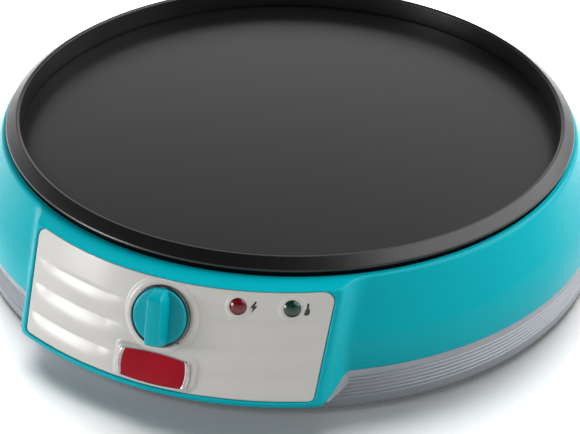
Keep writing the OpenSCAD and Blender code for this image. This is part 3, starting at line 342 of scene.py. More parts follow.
MATERIALS = {
    "plate_coating": finish("plate_coating", (6, 6, 7), (9, 9, 10), (0.31, 0.34), 60, 2600, 0.3),
    "housing_gloss": finish("housing_gloss", (0, 176, 190), (0, 180, 194), (0.2, 0.23), 30, 700, 0.02,
                            Specular_IOR_Level=0.1),
    "base_silver": finish("base_silver", (150, 155, 161), (163, 168, 174), (0.42, 0.5), 45, 3000, 0.12,
                          stretch=(1, 1, 3), Metallic=0.3),
    "fascia_white": finish("fascia_white", (206, 204, 199), (210, 208, 203), (0.25, 0.27), 35, 1400, 0.03),
    "knob_gloss": finish("knob_gloss", (0, 168, 180), (0, 172, 184), (0.2, 0.23), 60, 900, 0.02,
                         Specular_IOR_Level=0.2),
    "bezel_metal": finish("bezel_metal", (70, 78, 80), (92, 98, 100), (0.14, 0.22), 120, 2400, 0.08,
                          Metallic=1.0),
    "badge_chrome": finish("badge_chrome", (150, 140, 142), (185, 176, 178), (0.1, 0.18), 140, 2400, 0.05,
                           Metallic=1.0),
    "badge_enamel": finish("badge_enamel", (154, 2, 26), (166, 4, 30), (0.22, 0.26), 150, 1500, 0.04,
                           Specular_IOR_Level=0.15),
    "lens_red": finish("lens_red", (96, 0, 15), (112, 2, 20), (0.1, 0.14), 300, 1500, 0.05),
    "lens_green": finish("lens_green", (0, 48, 34), (0, 58, 42), (0.1, 0.14), 300, 1500, 0.05),
    "rubber_black": finish("rubber_black", (24, 24, 25), (36, 36, 37), (0.6, 0.75), 200, 3500, 0.3),
    "steatite": finish("steatite", (218, 210, 196), (232, 226, 214), (0.55, 0.65), 150, 2500, 0.25),
    "zinc_steel": finish("zinc_steel", (168, 170, 174), (196, 198, 202), (0.24, 0.36), 180, 2600, 0.15,
                         Metallic=1.0),
    "sheath_steel": finish("sheath_steel", (96, 90, 84), (124, 118, 110), (0.4, 0.52), 120, 2200, 0.2,
                           Metallic=0.9),
    "sheet_aluminium": finish("sheet_aluminium", (190, 191, 193), (208, 209, 211), (0.3, 0.42), 90, 2400,
                              0.12, stretch=(1, 8, 1), Metallic=1.0),
    "contact_brass": finish("contact_brass", (176, 140, 72), (200, 164, 92), (0.24, 0.34), 160, 2400, 0.1,
                            Metallic=1.0),
    "glow_glass": finish("glow_glass", (206, 200, 190), (226, 220, 210), (0.05, 0.12), 200, 1800, 0.03,
                         Transmission_Weight=0.6),
    "inner_plastic": finish("inner_plastic", (206, 204, 198), (218, 216, 210), (0.4, 0.5), 120, 2000, 0.12),
    "lead_insulation": finish("lead_insulation", (196, 190, 178), (212, 206, 194), (0.5, 0.6), 160, 2400,
                              0.15),
    "print_black": finish("print_black", (22, 22, 24), (32, 32, 34), (0.4, 0.5), 300, 2600, 0.1),
}


# ---- cooking plate ----

def make_plate():
    """The cast plate, from the middle of its underside out over its rim and in to the middle of its face."""
    edge = rounded([
        (SKIRT_R - 4, Z_UNDER, 0), (SKIRT_R, Z_UNDER + 3, 0.8), (SKIRT_R, Z_BODY + 0.6, 0.5),
        (RIM_R, Z_EDGE - 0.8, 0.3), (RIM_R - 0.4, Z_EDGE, 0.25), (COOK_R + 1.6, Z_CREST, 0.9),
        (COOK_R, Z_CREST - 0.8, 0.35), (COOK_R, Z_COOK, COOK_FILLET),
    ])
    under = [(r, Z_UNDER) for r in np.linspace(0, SKIRT_R - 12, 8)]
    face = [(r, Z_COOK) for r in np.linspace(COOK_R - COOK_FILLET - 1, 0, 24)]
    outline = under + [tuple(p) for p in edge] + face
    made = lathe("cooking_plate_cast", outline, 288)
    return piece(smooth(made, 40), "base", "plate_coating", ["cooking_plate"])


# ---- upper housing ----

def body_radius(z, inset=0.0):
    """Radius of the round housing; below the seam it is a hold inside the base's wall."""
    rise = np.clip((z - Z_SEAM) / SIDE_BEND, 0, math.sin(SIDE_LEAN))
    bent = BODY_R - SIDE_BEND * (1 - np.sqrt(1 - rise ** 2))
    lean = np.maximum(z - Z_BEND, 0) * math.tan(SIDE_LEAN)
    hold = np.where(z < Z_SEAM, 0.6, 0.0)
    return bent - lean - hold - inset


def panel_radius(theta, z, inset=0.0):
    """Radius of the cone in front of the block, seen from the Z axis."""
    rho = RHO_TOP + (Z_PANEL - z) / math.tan(PANEL_ANGLE) + (FRAME_PROUD - inset) / math.sin(PANEL_ANGLE)
    return PANEL_OFFSET * np.cos(theta) + np.sqrt(rho ** 2 - (PANEL_OFFSET * np.sin(theta)) ** 2)


CHEEK_X = TOP_HALF + FRAME_W
CHEEK_Y = -PANEL_OFFSET - math.sqrt(RHO_TOP ** 2 - CHEEK_X ** 2)
CHEEK_REACH = (math.cos(CHEEK_TILT) * (math.cos(CHEEK_YAW) * CHEEK_X - math.sin(CHEEK_YAW) * CHEEK_Y)
               + math.sin(CHEEK_TILT) * Z_PANEL)


def cheek_radius(theta, z, inset=0.0):
    """Radius of the flat cheek beside the panel, seen from the Z axis."""
    flat = (CHEEK_REACH - inset - z * math.sin(CHEEK_TILT)) / math.cos(CHEEK_TILT)
    return flat / np.sin(np.clip(theta + CHEEK_YAW, 0.05, math.pi - 0.05))


def corner_angle(z, insets):
    """Angle at which the cheek meets the panel, found by halving."""
    low, high = np.full_like(z, math.radians(12)), np.full_like(z, math.radians(40))
    for _ in range(40):
        middle = (low + high) / 2
        outside = cheek_radius(middle, z, insets[1]) > panel_radius(middle, z, insets[0])
        low, high = np.where(outside, middle, low), np.where(outside, high, middle)
    return (low + high) / 2


def crease_angle(z, insets):
    """Angle at which the cheek runs into the round housing."""
    flat = (CHEEK_REACH - insets[1] - z * math.sin(CHEEK_TILT)) / math.cos(CHEEK_TILT)
    return np.arcsin(flat / body_radius(z, insets[2])) - CHEEK_YAW


def soft_min(a, b, width):
    """The lower of two values, with their meeting eased over a width."""
    near = np.clip(1 - np.abs(a - b) / width, 0, 1)
    return np.minimum(a, b) - near ** 2 * width / 4


def soft_max(a, b, width):
    return -soft_min(-a, -b, width)


CORNER_SOFT = 1.6, 5.5
CREASE_SOFT = 6.0, 2.2


def softness(z, ends):
    """Softness of an edge that runs down the block, from its top to its bottom."""
    fall = np.clip((Z_BODY - z) / (Z_BODY - Z_BLOCK), 0, 1)
    return ends[0] + (ends[1] - ends[0]) * fall


def housing_radius(theta, z, insets):
    """Radius of the whole housing, with insets of the panel, the cheek and the round side."""
    turned = np.abs(theta)
    corner = softness(z, CORNER_SOFT)
    block = soft_min(panel_radius(turned, z, insets[0]), cheek_radius(turned, z, insets[1]), corner)
    block = np.where(turned > math.pi / 2, 0, block)
    return soft_max(body_radius(z, insets[2]), block, softness(z, CREASE_SOFT))


def column_shares():
    """Columns of the housing from front to back, as (stretch, share of it), close at corner and crease."""
    from_corner = [0, 0.25, 0.5, 0.8, 1.2, 1.8, 2.8, 4.2, 6.2]
    from_corner += list(np.linspace(8.6, CHEEK_X, 30))
    panel = [(0, 1 - d / CHEEK_X) for d in reversed(from_corner)]
    cheek = [(1, 0.5 - 0.5 * math.cos(math.pi * k / 14)) for k in range(1, 15)]
    round_l = BODY_R * (math.pi - math.radians(30))
    from_crease = [0.3, 0.7, 1.2, 2, 3, 4.4, 6.4, 9] + list(np.linspace(12, round_l, 130))
    return panel, cheek, [(2, d / round_l) for d in from_crease]


def column_angles(columns, z, insets):
    """Angle of each column at each height, where z has a row for each row of points."""
    corner = corner_angle(z, insets)
    crease = crease_angle(z, insets)
    stretch = np.array([c[0] for c in columns])
    share = np.array([c[1] for c in columns])
    starts = np.stack([np.zeros_like(z), corner, crease])
    ends = np.stack([corner, crease, np.full_like(z, math.pi)])
    at = np.arange(len(columns))
    rows = np.arange(len(z))[:, None]
    return starts[stretch, rows, at] * (1 - share) + ends[stretch, rows, at] * share


OUTER = (0.0, 0.0, 0.0)
INNER = (FASCIA_T + 2 + FRAME_PROUD, WALL, WALL / math.cos(SIDE_LEAN))


def side_slope(theta, z, step=0.5):
    """Angle of the side from the vertical, positive where it leans in going up."""
    fall = housing_radius(theta, z - step, OUTER) - housing_radius(theta, z, OUTER)
    return np.arctan2(fall, step)


def polar(theta, r, z):
    """Points from the angle off the front, the radius and the height."""
    return np.stack([r * np.sin(theta), -r * np.cos(theta), z], -1)


def shell_rows(columns):
    """Rows of points that all columns share: outer ones from lip to seam, inner ones from the seam up."""
    one = np.ones(len(columns))
    top = column_angles(columns, Z_BODY * one[None], OUTER)[0]
    corner_r = housing_radius(top, Z_BODY * one, OUTER)
    slope = side_slope(top, Z_BODY * one)
    turn = math.pi / 2 - slope
    reach = TOP_ROUND * np.tan(turn / 2)
    rows = []

    def add(r, z):
        z = z * one
        rows.append(polar(column_angles(columns, z[None], OUTER)[0], r * one, z))

    lip = 0.6
    add(LIP_R, Z_BODY - WALL)
    for k in range(5):
        a = math.pi / 2 * k / 4
        add(LIP_R + lip * (1 - math.cos(a)), Z_BODY - lip * (1 - math.sin(a)))
    flat_end = corner_r - reach
    for share in (0.3, 0.65, 0.9):
        add(LIP_R + lip + (flat_end - LIP_R - lip) * share, Z_BODY)
    for k in range(9):
        a = turn * k / 8
        add(flat_end + TOP_ROUND * np.sin(a), Z_BODY - TOP_ROUND * (1 - np.cos(a)))
    foot = Z_BODY - TOP_ROUND * (1 - np.cos(turn))
    seam = Z_SEAM + SEAM_EDGE
    for share in np.linspace(0, 1, 34)[1:]:
        z = foot + (seam - foot) * share
        theta = column_angles(columns, z[None], OUTER)[0]
        rows.append(polar(theta, housing_radius(theta, z, OUTER), z))
    inner = []
    for z in np.linspace(Z_SEAM + WALL, Z_BODY - WALL, 10):
        theta = column_angles(columns, z * one[None], INNER)[0]
        inner.append(polar(theta, housing_radius(theta, z * one, INNER), z * one))
    return rows, inner


def block_underside(columns, last):
    """Rows under the block, from below the seam round its lower edge and back up to the inside."""
    one = np.ones(len(columns))
    rise = np.array([CREASE_RISE * share if stretch else 0 for stretch, share in columns])
    foot = Z_BLOCK + (Z_SEAM - Z_BLOCK) * rise
    bend = LOW_ROUND + (SEAM_EDGE - LOW_ROUND) * rise
    low = column_angles(columns, foot[None], OUTER)[0]
    corner_r = housing_radius(low, foot, OUTER)
    slope = np.arctan2(corner_r - housing_radius(low, foot + 0.5, OUTER), 0.5)
    turn = math.pi / 2 + slope
    reach = bend * np.tan(turn / 2)
    head = foot + bend * (1 - np.cos(turn))
    rows = []
    for share in np.linspace(0, 1, 8)[1:]:
        z = last + (head - last) * share
        theta = column_angles(columns, z[None], OUTER)[0]
        rows.append(polar(theta, housing_radius(theta, z, OUTER), z))
    for k in range(1, 7):
        a = turn * (1 - k / 6)
        rows.append(polar(low, corner_r - reach + bend * np.sin(a), foot + bend * (1 - np.cos(a))))
    for inwards, z in ((SOLE_W, foot), (LEDGE_W, Z_SEAM), (LEDGE_W + WALL, Z_SEAM),
                       (LEDGE_W + WALL, Z_SEAM + WALL)):
        rows.append(polar(low, corner_r - inwards, z * one))
    return rows


def rim_underside(columns):
    """Rows under the round housing's edge, which sits on the base."""
    one = np.ones(len(columns))
    theta = column_angles(columns, (Z_SEAM + 0.01) * one[None], OUTER)[0]
    rows = []
    for k in range(1, 4):
        a = math.pi / 2 * (1 - k / 3)
        r = BODY_R - SEAM_EDGE + SEAM_EDGE * math.sin(a)
        rows.append(polar(theta, r * one, (Z_SEAM + SEAM_EDGE - SEAM_EDGE * math.cos(a)) * one))
    rows.append(polar(theta, (BODY_R - WALL) * one, Z_SEAM * one))
    return rows


def mirror_columns(rows):
    """Adds the -X half in front of the +X half; the first column is the middle."""
    rows = np.array(rows)
    left = rows[:, :0:-1] * np.array([-1, 1, 1])
    return np.concatenate([left, rows], 1)


def half_width(s):
    """Half width of the fascia at s down its slope."""
    return TOP_HALF + (BOTTOM_HALF - TOP_HALF) * np.clip(s, 0, PANEL_SLANT) / PANEL_SLANT


def fascia_grid(across, down, grow=0.0):
    """Grid of (x, s) over the fascia's rounded outline, grown outwards, and its border's indices in order."""
    a = np.linspace(-1, 1, across)
    t = np.linspace(-1, 1, down)
    s = PANEL_SLANT / 2 + (PANEL_SLANT / 2 + grow) * np.sign(t) * (1 - (1 - np.abs(t)) ** 1.3)
    r = np.where(s < PANEL_SLANT / 2, FASCIA_CORNER, FASCIA_CORNER_LOW) + grow
    to_end = np.clip(np.minimum(s + grow, PANEL_SLANT + grow - s), 0, r)
    squeeze = r - np.sqrt(r ** 2 - (r - to_end) ** 2)
    x = a[None] * (half_width(s) + grow - squeeze)[:, None]
    size = across * down
    border = [*range(across), *range(2 * across - 1, size, across),
              *range(size - 2, size - across - 1, -1), *range(size - 2 * across, 0, -across)]
    return x, np.repeat(s[:, None], across, 1), border


def recess_cutter():
    """Pocket for the fascia, with a lip that rounds outwards."""
    across, down, lip = 61, 41, 0.7
    levels = [(0.2, -FASCIA_T - 0.2), (0.2, FRAME_PROUD - lip)]
    levels += [(0.2 + lip * (1 - math.cos(a)), FRAME_PROUD - lip + lip * math.sin(a))
               for a in np.radians([20, 40, 60, 78])]
    levels += [(0.2 + lip + 0.4, FRAME_PROUD + 0.5), (0.2 + lip + 0.4, FRAME_PROUD + 6)]
    points, size = [], across * down
    for grow, h in levels:
        x, s, border = fascia_grid(across, down, grow)
        points.append(panel_point(x, s, h).reshape(-1, 3))
    faces = grid_faces(down, across) + grid_faces(down, across, first=(len(levels) - 1) * size)
    for k in range(len(levels) - 1):
        faces += [(i + k * size, j + k * size, j + (k + 1) * size, i + (k + 1) * size)
                  for i, j in zip(border, border[1:] + border[:1])]
    return without_loose(new_object("recess_cutter", np.vstack(points), faces))


def without_loose(obj):
    """Drops points that no face uses."""
    work = bmesh.new()
    work.from_mesh(obj.data)
    bmesh.ops.delete(work, geom=[v for v in work.verts if not v.link_faces], context="VERTS")
    bmesh.ops.recalc_face_normals(work, faces=work.faces)
    work.to_mesh(obj.data)
    work.free()
    return obj


def make_housing():
    """Shell of the round housing and its control block, with a pocket for the fascia."""
    panel, cheek, rest = column_shares()
    columns = panel + cheek + rest
    block = len(panel) + len(cheek)
    outer, inner = (mirror_columns(rows) for rows in shell_rows(columns))
    under = mirror_columns(block_underside(columns[:block], np.full(block, Z_SEAM + SEAM_EDGE)))
    beside = mirror_columns(rim_underside(columns))
    count, n = outer.shape[:2]
    width = under.shape[1]
    middle = len(columns) - 1
    left, right = middle - block + 1, middle + block - 1

    # every row of points starts at an index of its own, and its columns follow
    first_inner = count * n
    first_under = first_inner + len(inner) * n
    first_beside = first_under + len(under) * width
    outer_starts = [i * n for i in range(count)]
    inner_starts = [first_inner + i * n for i in range(len(inner))]
    under_starts = [first_under + i * width - left for i in range(len(under))]
    beside_starts = [first_beside + i * n for i in range(len(beside))]
    points = np.vstack([rows.reshape(-1, 3) for rows in (outer, inner[::-1], under, beside)])

    # the first column and the last are the same line at the back
    every = range(n - 1)
    under_block, beside_block = range(left, right), [*range(left), *range(right, n - 1)]
    strip = [outer_starts[-1], *under_starts, inner_starts[-1]]
    edge = [outer_starts[-1], *beside_starts, inner_starts[-1]]
    faces = []
    for starts, span in ((outer_starts, every), (inner_starts, every), ((0, first_inner), every),
                         (strip, under_block), (edge, beside_block)):
        for a, b in zip(starts, starts[1:]):
            faces += [(a + j, a + j + 1, b + j + 1, b + j) for j in span]
    for j in (left, right):
        faces.append(tuple(start + j for start in strip + edge[-2:0:-1]))
    made = without_loose(new_object("upper_housing_shell", points, faces))
    cut(made, recess_cutter())
    return piece(smooth(made, 32), "base", "housing_gloss", ["upper_housing"])


# ---- fascia ----

WAVE_START = 12.8
WAVE_RUN = 13.9
WAVE_DEPTH = 0.9


def soft_step(value, low, high):
    """Eases from 0 at low to 1 at high."""
    t = np.clip((value - low) / (high - low), 0, 1)
    return t * t * (3 - 2 * t)


def plateau(distance, height, slope=1.6, crest=0.5):
    """Height of a raised surround at a distance outside its edge, with a rounded shoulder and sloping wall."""
    return height - slope * np.logaddexp(0, distance / crest) * crest


def pill_distance(x, y, w, h, r):
    """Distance outside a rounded rectangle."""
    dx = np.maximum(np.abs(x) - w / 2 + r, 0)
    dy = np.maximum(np.abs(y) - h / 2 + r, 0)
    inside = np.minimum(np.maximum(np.abs(x) - w / 2 + r, np.abs(y) - h / 2 + r), 0)
    return np.hypot(dx, dy) + inside - r


def fascia_height(x, s):
    """Height of the fascia's face over its plain cone: bands, and raised surrounds that ride on them."""
    share = (s - WAVE_START) / WAVE_RUN % 1
    bands = np.where(s > WAVE_START, WAVE_DEPTH * ((1 - (2 * share - 1) ** 2) - 1), 0)
    bands *= soft_step(s, WAVE_START, WAVE_START + 1.8)
    knob = np.hypot(x, s - KNOB_SLANT) - SURROUND_R
    badge = badge_distance(x, s - BADGE_SLANT) - BADGE_LIP
    height = bands * soft_step(np.minimum(knob, badge), 1, 12) * soft_step(half_width(s) - np.abs(x), 0, 9)
    height = soft_max(height, plateau(knob, SURROUND_H + panel_sag(x, s, 0)), 0.5)
    height = soft_max(height, plateau(badge, SURROUND_H + panel_sag(x, s, 0)), 0.5)
    for lamp in (RED_X, GREEN_X):
        ring = np.hypot(x - lamp, s - LAMP_SLANT) - LAMP_RING_R
        height = soft_max(height, plateau(ring, LAMP_RING_H + panel_sag(x, s, lamp), 1.2, 0.3), 0.4)
    return height


def edge_distance(x, s):
    """Distance inwards from the fascia's rounded outline."""
    r = np.where(s < PANEL_SLANT / 2, FASCIA_CORNER, FASCIA_CORNER_LOW)
    return -pill_distance(x * TOP_HALF / half_width(s), s - PANEL_SLANT / 2, 2 * TOP_HALF, PANEL_SLANT, r)


def make_fascia():
    """The silver panel, with its bands and surrounds, and holes for the spindle and the lamps."""
    across, down, edge = 331, 111, 0.6
    x, s, border = fascia_grid(across, down)
    height = fascia_height(x, s)
    inside = np.clip(edge_distance(x, s), 0, edge)
    height = height - (edge - np.sqrt(edge ** 2 - (edge - inside) ** 2))
    points = np.vstack([panel_point(x, s, h).reshape(-1, 3) for h in (height, -FASCIA_T)])
    size = across * down
    faces = grid_faces(down, across) + grid_faces(down, across, first=size)
    faces += [(i, j, j + size, i + size) for i, j in zip(border, border[1:] + border[:1])]
    made = new_object("fascia_moulding", points, faces)
    holes = [drill(0, KNOB_SLANT, 5.2)] + [drill(x, LAMP_SLANT, LENS_R + 0.15) for x in (RED_X, GREEN_X)]
    cut(made, *holes)
    return piece(smooth(made, 40), "base", "fascia_white", ["fascia"])


def drill(x, s, r):
    """A rod through the fascia, to cut a hole with."""
    outline = [(0, -8), (r, -8), (r, 6), (0, 6)]
    return lathe("drill", outline, 48, panel_place(x, s))


# ---- knob ----

def make_knob():
    """The knob's round disc and the stub of its hub."""
    low = SURROUND_H + KNOB_GAP
    high = low + DISC_H
    outline = rounded([(0, -2.9, 0), (4.7, -2.9, 0), (4.7, low, 0), (KNOB_R, low, 0.3), (KNOB_R, high, 1.3),
                       (11, high, 0), (6, high - 0.2, 0), (0, high - 0.25, 0)], 8)
    made = lathe("knob_disc", outline, 144, panel_place(0, KNOB_SLANT))
    return piece(smooth(made, 35), "knob", "knob_gloss", ["knob"])


def make_grip():
    """Bar across the knob, lofted from its tall lower end to its ramped upper end."""
    low = SURROUND_H + KNOB_GAP + DISC_H - 0.2
    reach = KNOB_R - 0.1
    rings = []
    for t in np.sin(np.linspace(-math.pi / 2, math.pi / 2, 49)):
        ramp = math.sqrt(1 - 0.99 * soft_step(t, 0.5, 1.0) ** 2)
        end = math.sqrt(1 - soft_step(t, -0.86, -1.0) ** 2 * 0.98)
        h = 0.35 + (GRIP_H - 0.35) * ramp * (0.55 + 0.45 * end) - 0.5 * t * t
        foot = GRIP_FOOT * (0.72 + 0.28 * end) * (1 - 0.3 * soft_step(t, 0.6, 1.0))
        crown = foot - 1.3 * ramp - 0.1
        h = max(h, 0.15)
        bend = min(1.1, 0.4 * h)
        outline = rounded([(-foot, low, 0), (-crown, low + h * 0.95, bend), (0, low + h, 0),
                           (crown, low + h * 0.95, bend), (foot, low, 0)], 6)
        rings.append([(p[0], reach * t, p[1]) for p in outline])
    lean = Matrix.Rotation(GRIP_LEAN, 4, "Z")
    made = skin("knob_grip", rings, panel_place(0, KNOB_SLANT) @ lean)
    return piece(smooth(made, 50), "knob", "knob_gloss")


def make_bezel():
    """The bright ring round the knob."""
    outline = rounded([(BEZEL_R - 1, SURROUND_H, 0), (BEZEL_R, SURROUND_H, 0),
                       (BEZEL_R, SURROUND_H + 1.6, 0.45), (BEZEL_R - 1, SURROUND_H + 1.6, 0.45)])
    made = lathe("knob_bezel_ring", outline, 144, panel_place(0, KNOB_SLANT))
    return piece(smooth(made, 40), "base", "bezel_metal", ["knob_bezel"])


# ---- badge ----

def barrel_edge(x, inset=0.0):
    """Half height of the badge at x: its long sides bow outwards."""
    return BADGE_H / 2 - inset - BADGE_BOW * (x / (BADGE_W / 2)) ** 2


def badge_distance(x, y):
    """Rough distance outside the badge's outline."""
    end = np.abs(x) - BADGE_W / 2 - BADGE_END_BOW * (1 - (y / (BADGE_H / 2)) ** 2)
    side = np.abs(y) - barrel_edge(np.clip(x, -BADGE_W / 2, BADGE_W / 2))
    return soft_max(end, side, 3.0)


def barrel(side, end, steps=24):
    """Outline of the badge from its upper left corner on, with its long and short sides moved inwards."""
    half, r = BADGE_W / 2 - end, BADGE_CORNER
    x = np.linspace(-half + r, half - r, 2 * steps)
    top = np.stack([x, barrel_edge(x, side)], 1)
    high = barrel_edge(half - r, side)
    turn = np.linspace(0, math.pi / 2, 9)[1:]
    arc = np.stack([half - r + r * np.sin(turn), high - r + r * np.cos(turn)], 1)
    y = np.linspace(high - r, r - high, steps)[1:]
    short = np.stack([half + BADGE_END_BOW * (1 - (y / (high - r)) ** 2), y], 1)
    right = np.vstack([arc, short, arc[-2::-1] * [1, -1]])
    return np.vstack([top, right, top[::-1] * [1, -1], right[::-1] * [-1, 1]])


def skin(name, rings, place=None):
    """A closed skin over rings of points, with a flat end at the first and the last."""
    count, n = len(rings), len(rings[0])
    faces = grid_faces(count, n, wrap_cols=True) + [tuple(range(n)), tuple(range((count - 1) * n, count * n))]
    return new_object(name, np.reshape(rings, (-1, 3)), faces, place)


def make_badge():
    """Bright surround and red face, from levels of (long sides in, short sides in, height)."""
    place = panel_place(0, BADGE_SLANT) @ Matrix.Translation((0, 0, -BADGE_SINK))
    surround = [(0, 0, 0), (0, 0, 0.6), (0.04, 0.15, 0.95), (0.1, 0.6, 1.25), (0.14, 1.2, 1.38),
                (0.18, 1.8, 1.36), (0.2, 2.4, 1.15), (0.2, 2.5, 0.9), (0.2, 2.5, 0.3)]
    face = [(0.25, 2.55, 0.4), (0.25, 2.55, 1.15), (0.35, 2.7, 1.32), (0.7, 3.0, 1.4)]
    for name, levels, slot, node in (("badge_surround", surround, "badge_chrome", "badge_frame"),
                                     ("badge_face", face, "badge_enamel", "badge_plate")):
        outlines = [(barrel(side, end), SURROUND_H + h) for side, end, h in levels]
        rings = [np.column_stack([xy, np.full(len(xy), z)]) for xy, z in outlines]
        piece(smooth(skin(name, rings, place), 30), "base", slot, [node])


# ---- lamps and marks ----

def make_lens(name, x):
    """A lamp's domed lens, which stands for the node of its name."""
    dome = 1.6
    curve = (LENS_R ** 2 + dome ** 2) / (2 * dome)
    outline = [(0, -FASCIA_T - 1), (LENS_R, -FASCIA_T - 1), (LENS_R, LAMP_RING_H)]
    for a in np.linspace(math.asin(LENS_R / curve), 0, 14)[1:]:
        outline.append((curve * math.sin(a), LAMP_RING_H + dome - curve * (1 - math.cos(a))))
    made = lathe(name + "_dome", outline, 72, panel_place(x, LAMP_SLANT))
    return piece(smooth(made, 40), "base", LENS_SLOTS[name], [name])


LENS_SLOTS = {"red_lens": "lens_red", "green_lens": "lens_green"}
BOLT = [(0.2, -2.8), (-1.5, 0.4), (-0.3, 0.4), (-0.7, 2.8), (1.5, -0.7), (0.3, -0.7), (1.0, -2.8)]
INK = 0.06


def printed(name, x, s, outline):
    """A thin printed shape on the fascia, from (x, s) points about its middle."""
    xy = np.array(outline, float) + (x, s)
    base = fascia_height(xy[:, 0], xy[:, 1])
    rings = [panel_point(xy[:, 0], xy[:, 1], base + h) for h in (-0.1, INK)]
    return piece(smooth(skin(name, rings), 30), "base", "rubber_black", material=MATERIALS["print_black"])


def thermometer():
    """Narrow stem over a wide reservoir with a round foot."""
    stem, bulb, low = 0.45, 1.15, 2.8
    foot = np.radians(np.linspace(0, 180, 13))
    outline = [(bulb * math.cos(a), low - bulb * 0.7 + bulb * 0.7 * math.sin(a)) for a in foot]
    return outline + [(-bulb, 0.6), (-stem, -0.7), (-stem, -2.6), (0, -2.9), (stem, -2.6), (stem, -0.7),
                      (bulb, 0.6)]


def make_marks():
    """Generic signs: a bolt and a thermometer by the lamps, and a dot on each side of the knob."""
    printed("mark_power", 42.0, LAMP_SLANT, BOLT)
    printed("mark_heat", 65.2, LAMP_SLANT + 0.6, thermometer())
    for name, x, s, side in (("mark_low", -11.0, 26.6, 0.8), ("mark_high", 10.2, 28.4, 0.55)):
        printed(name, x, s, [(side * math.cos(a), side * math.sin(a)) for a in np.radians(range(0, 360, 30))])


# ---- nodes that keep their CAD shape ----

def dress_nodes():
    """Gives each CAD node the finish of its slot."""
    for part in frame["record"]["subparts"]:
        for held in frame["nodes"][part["node"]].material_slots:
            held.material = MATERIALS[part["material_slot"]]


# ---- studio, in metres ----

FLOOR_HALF = 3.0
WHITE_FROM_TO = 0.35, 0.9
ROOM_LEVELS = [(0.0, 0.45), (0.34, 0.5), (0.48, 0.3), (0.58, 0.08), (1.0, 0.08)]
BACKDROP_LEVELS = [(0.0, 1.0), (0.34, 1.0), (0.48, 0.45), (0.6, 0.1), (1.0, 0.08)]
CAMERA_PLACE = 0.24864, -0.69099, 0.48089
CAMERA_AIM = 0.03295, -0.08990, 0.062
CAMERA_ROLL = math.radians(0.9355)
CAMERA_LENS = 95.82


def background_rays(nodes, links):
    """One for the rays that show the background: seen, mirrored or let through."""
    path = nodes.new("ShaderNodeLightPath")
    first = nodes.new("ShaderNodeMath")
    second = nodes.new("ShaderNodeMath")
    first.operation = second.operation = "MAXIMUM"
    links.new(path.outputs["Is Camera Ray"], first.inputs[0])
    links.new(path.outputs["Is Glossy Ray"], first.inputs[1])
    links.new(first.outputs[0], second.inputs[0])
    links.new(path.outputs["Is Transmission Ray"], second.inputs[1])
    return second.outputs[0]


def make_floor():
    """A pale floor, twice as bright to the rays that show it, and plain white away from the object."""
    mesh = bpy.data.meshes.new("studio_floor")
    corners = [(-1, -1), (1, -1), (1, 1), (-1, 1)]
    mesh.from_pydata([(x * FLOOR_HALF, y * FLOOR_HALF, 0) for x, y in corners], [], [(0, 1, 2, 3)])
    floor = bpy.data.objects.new("studio_floor", mesh)
    bpy.context.scene.collection.objects.link(floor)
    material, nodes, links = blank_material("studio_floor")
    shader = nodes["Principled BSDF"]
    grain = noise(nodes, links, 6)
    links.new(blended(nodes, links, grain, (0.85,) * 3, (0.88,) * 3), shader.inputs["Base Color"])
    shader.inputs["Roughness"].default_value = 0.9
    shader.inputs["Specular IOR Level"].default_value = 0.1
    where = nodes.new("ShaderNodeTexCoord")
    apart = nodes.new("ShaderNodeVectorMath")
    apart.operation = "LENGTH"
    links.new(where.outputs["Object"], apart.inputs[0])
    backdrop = nodes.new("ShaderNodeEmission")
    links.new(spread(nodes, links, apart.outputs["Value"], 0, 1, *WHITE_FROM_TO), backdrop.inputs["Strength"])
    twice = nodes.new("ShaderNodeAddShader")
    both = nodes.new("ShaderNodeAddShader")
    pick = nodes.new("ShaderNodeMixShader")
    links.new(shader.outputs[0], twice.inputs[0])
    links.new(shader.outputs[0], twice.inputs[1])
    links.new(twice.outputs[0], both.inputs[0])
    links.new(backdrop.outputs[0], both.inputs[1])
    links.new(background_rays(nodes, links), pick.inputs["Fac"])
    links.new(shader.outputs[0], pick.inputs[1])
    links.new(both.outputs[0], pick.inputs[2])
    links.new(pick.outputs[0], nodes["Material Output"].inputs["Surface"])
    mesh.materials.append(material)
    return floor


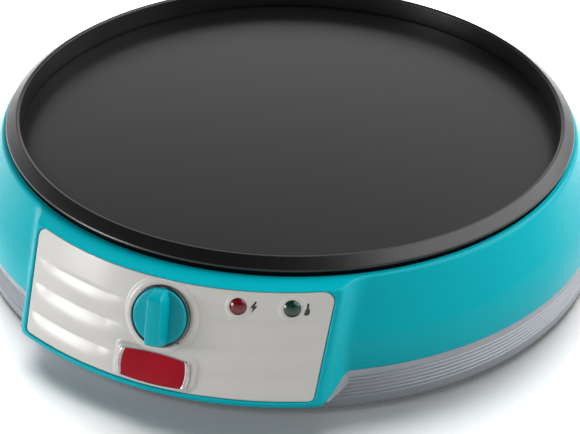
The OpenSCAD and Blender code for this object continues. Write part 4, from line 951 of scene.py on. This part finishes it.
def make_world():
    """A dim room for the light, and a white backdrop under a dark ceiling for the rays that show it."""
    world = bpy.data.worlds.new("studio")
    bpy.context.scene.world = world
    world.use_nodes = True
    nodes, links = world.node_tree.nodes, world.node_tree.links
    where = nodes.new("ShaderNodeTexCoord")
    axes = nodes.new("ShaderNodeSeparateXYZ")
    links.new(where.outputs["Generated"], axes.inputs[0])

    def levels(stops):
        """Grey levels by the height of a direction."""
        ramp = nodes.new("ShaderNodeValToRGB")
        ramp.color_ramp.elements[0].position = stops[0][0]
        ramp.color_ramp.elements[1].position = stops[-1][0]
        for position, _ in stops[1:-1]:
            ramp.color_ramp.elements.new(position)
        for element, (_, level) in zip(ramp.color_ramp.elements, stops):
            element.color = (level, level, level, 1)
        links.new(axes.outputs["Z"], ramp.inputs["Fac"])
        return ramp.outputs["Color"]

    studio = nodes["Background"]
    links.new(levels(ROOM_LEVELS), studio.inputs["Color"])
    studio.inputs["Strength"].default_value = 0.8
    white = nodes.new("ShaderNodeBackground")
    links.new(levels(BACKDROP_LEVELS), white.inputs["Color"])
    pick = nodes.new("ShaderNodeMixShader")
    links.new(background_rays(nodes, links), pick.inputs["Fac"])
    links.new(studio.outputs[0], pick.inputs[1])
    links.new(white.outputs[0], pick.inputs[2])
    links.new(pick.outputs[0], nodes["World Output"].inputs["Surface"])


def face_towards(obj, place, aim):
    """Puts a lamp or a camera at a place, turned to its aim."""
    obj.location = place
    obj.rotation_mode = "QUATERNION"
    obj.rotation_quaternion = (Vector(aim) - Vector(place)).to_track_quat("-Z", "Y")
    bpy.context.scene.collection.objects.link(obj)


def softbox(name, place, aim, size, power, floor, on_floor=False):
    """An area lamp that lights either the floor alone or everything else."""
    lamp = bpy.data.lights.new(name, "AREA")
    lamp.shape = "RECTANGLE"
    lamp.size, lamp.size_y = size
    lamp.energy = power
    obj = bpy.data.objects.new(name, lamp)
    face_towards(obj, place, aim)
    reach = bpy.data.collections.new(name + "_reach")
    reach.objects.link(floor)
    obj.light_linking.receiver_collection = reach
    reach.collection_objects[0].light_linking.link_state = "INCLUDE" if on_floor else "EXCLUDE"


def make_camera():
    """The photograph's camera, as it was fitted to the plate, the seam and the base."""
    lens = bpy.data.cameras.new("camera")
    lens.sensor_width = 36
    lens.lens = CAMERA_LENS
    camera = bpy.data.objects.new("camera", lens)
    face_towards(camera, CAMERA_PLACE, CAMERA_AIM)
    camera.rotation_quaternion = camera.rotation_quaternion @ Quaternion((0, 0, 1), CAMERA_ROLL)
    bpy.context.scene.camera = camera


make_camera()
make_world()
floor = make_floor()
softbox("floor_light", (-0.3, 0.68, 1.1), (0, -0.1, 0), (1.7, 1.1), 28.5, floor, on_floor=True)
softbox("top_light", (0.8, 0.45, 1.05), (0, -0.1, 0.05), (1.8, 1.4), 26, floor)
softbox("back_panel", (-0.45, 1.3, 0.54), (0, 0, 0.06), (3.0, 0.36), 2.6, floor)
softbox("key_light", (-0.95, -0.8, 0.36), (0, -0.1, 0.04), (0.44, 0.4), 8.6, floor)
bpy.context.scene.view_settings.view_transform = "Standard"

dress_nodes()
make_plate()
make_housing()
make_fascia()
make_knob()
make_grip()
make_bezel()
make_badge()
make_lens("red_lens", RED_X)
make_lens("green_lens", GREEN_X)
make_marks()
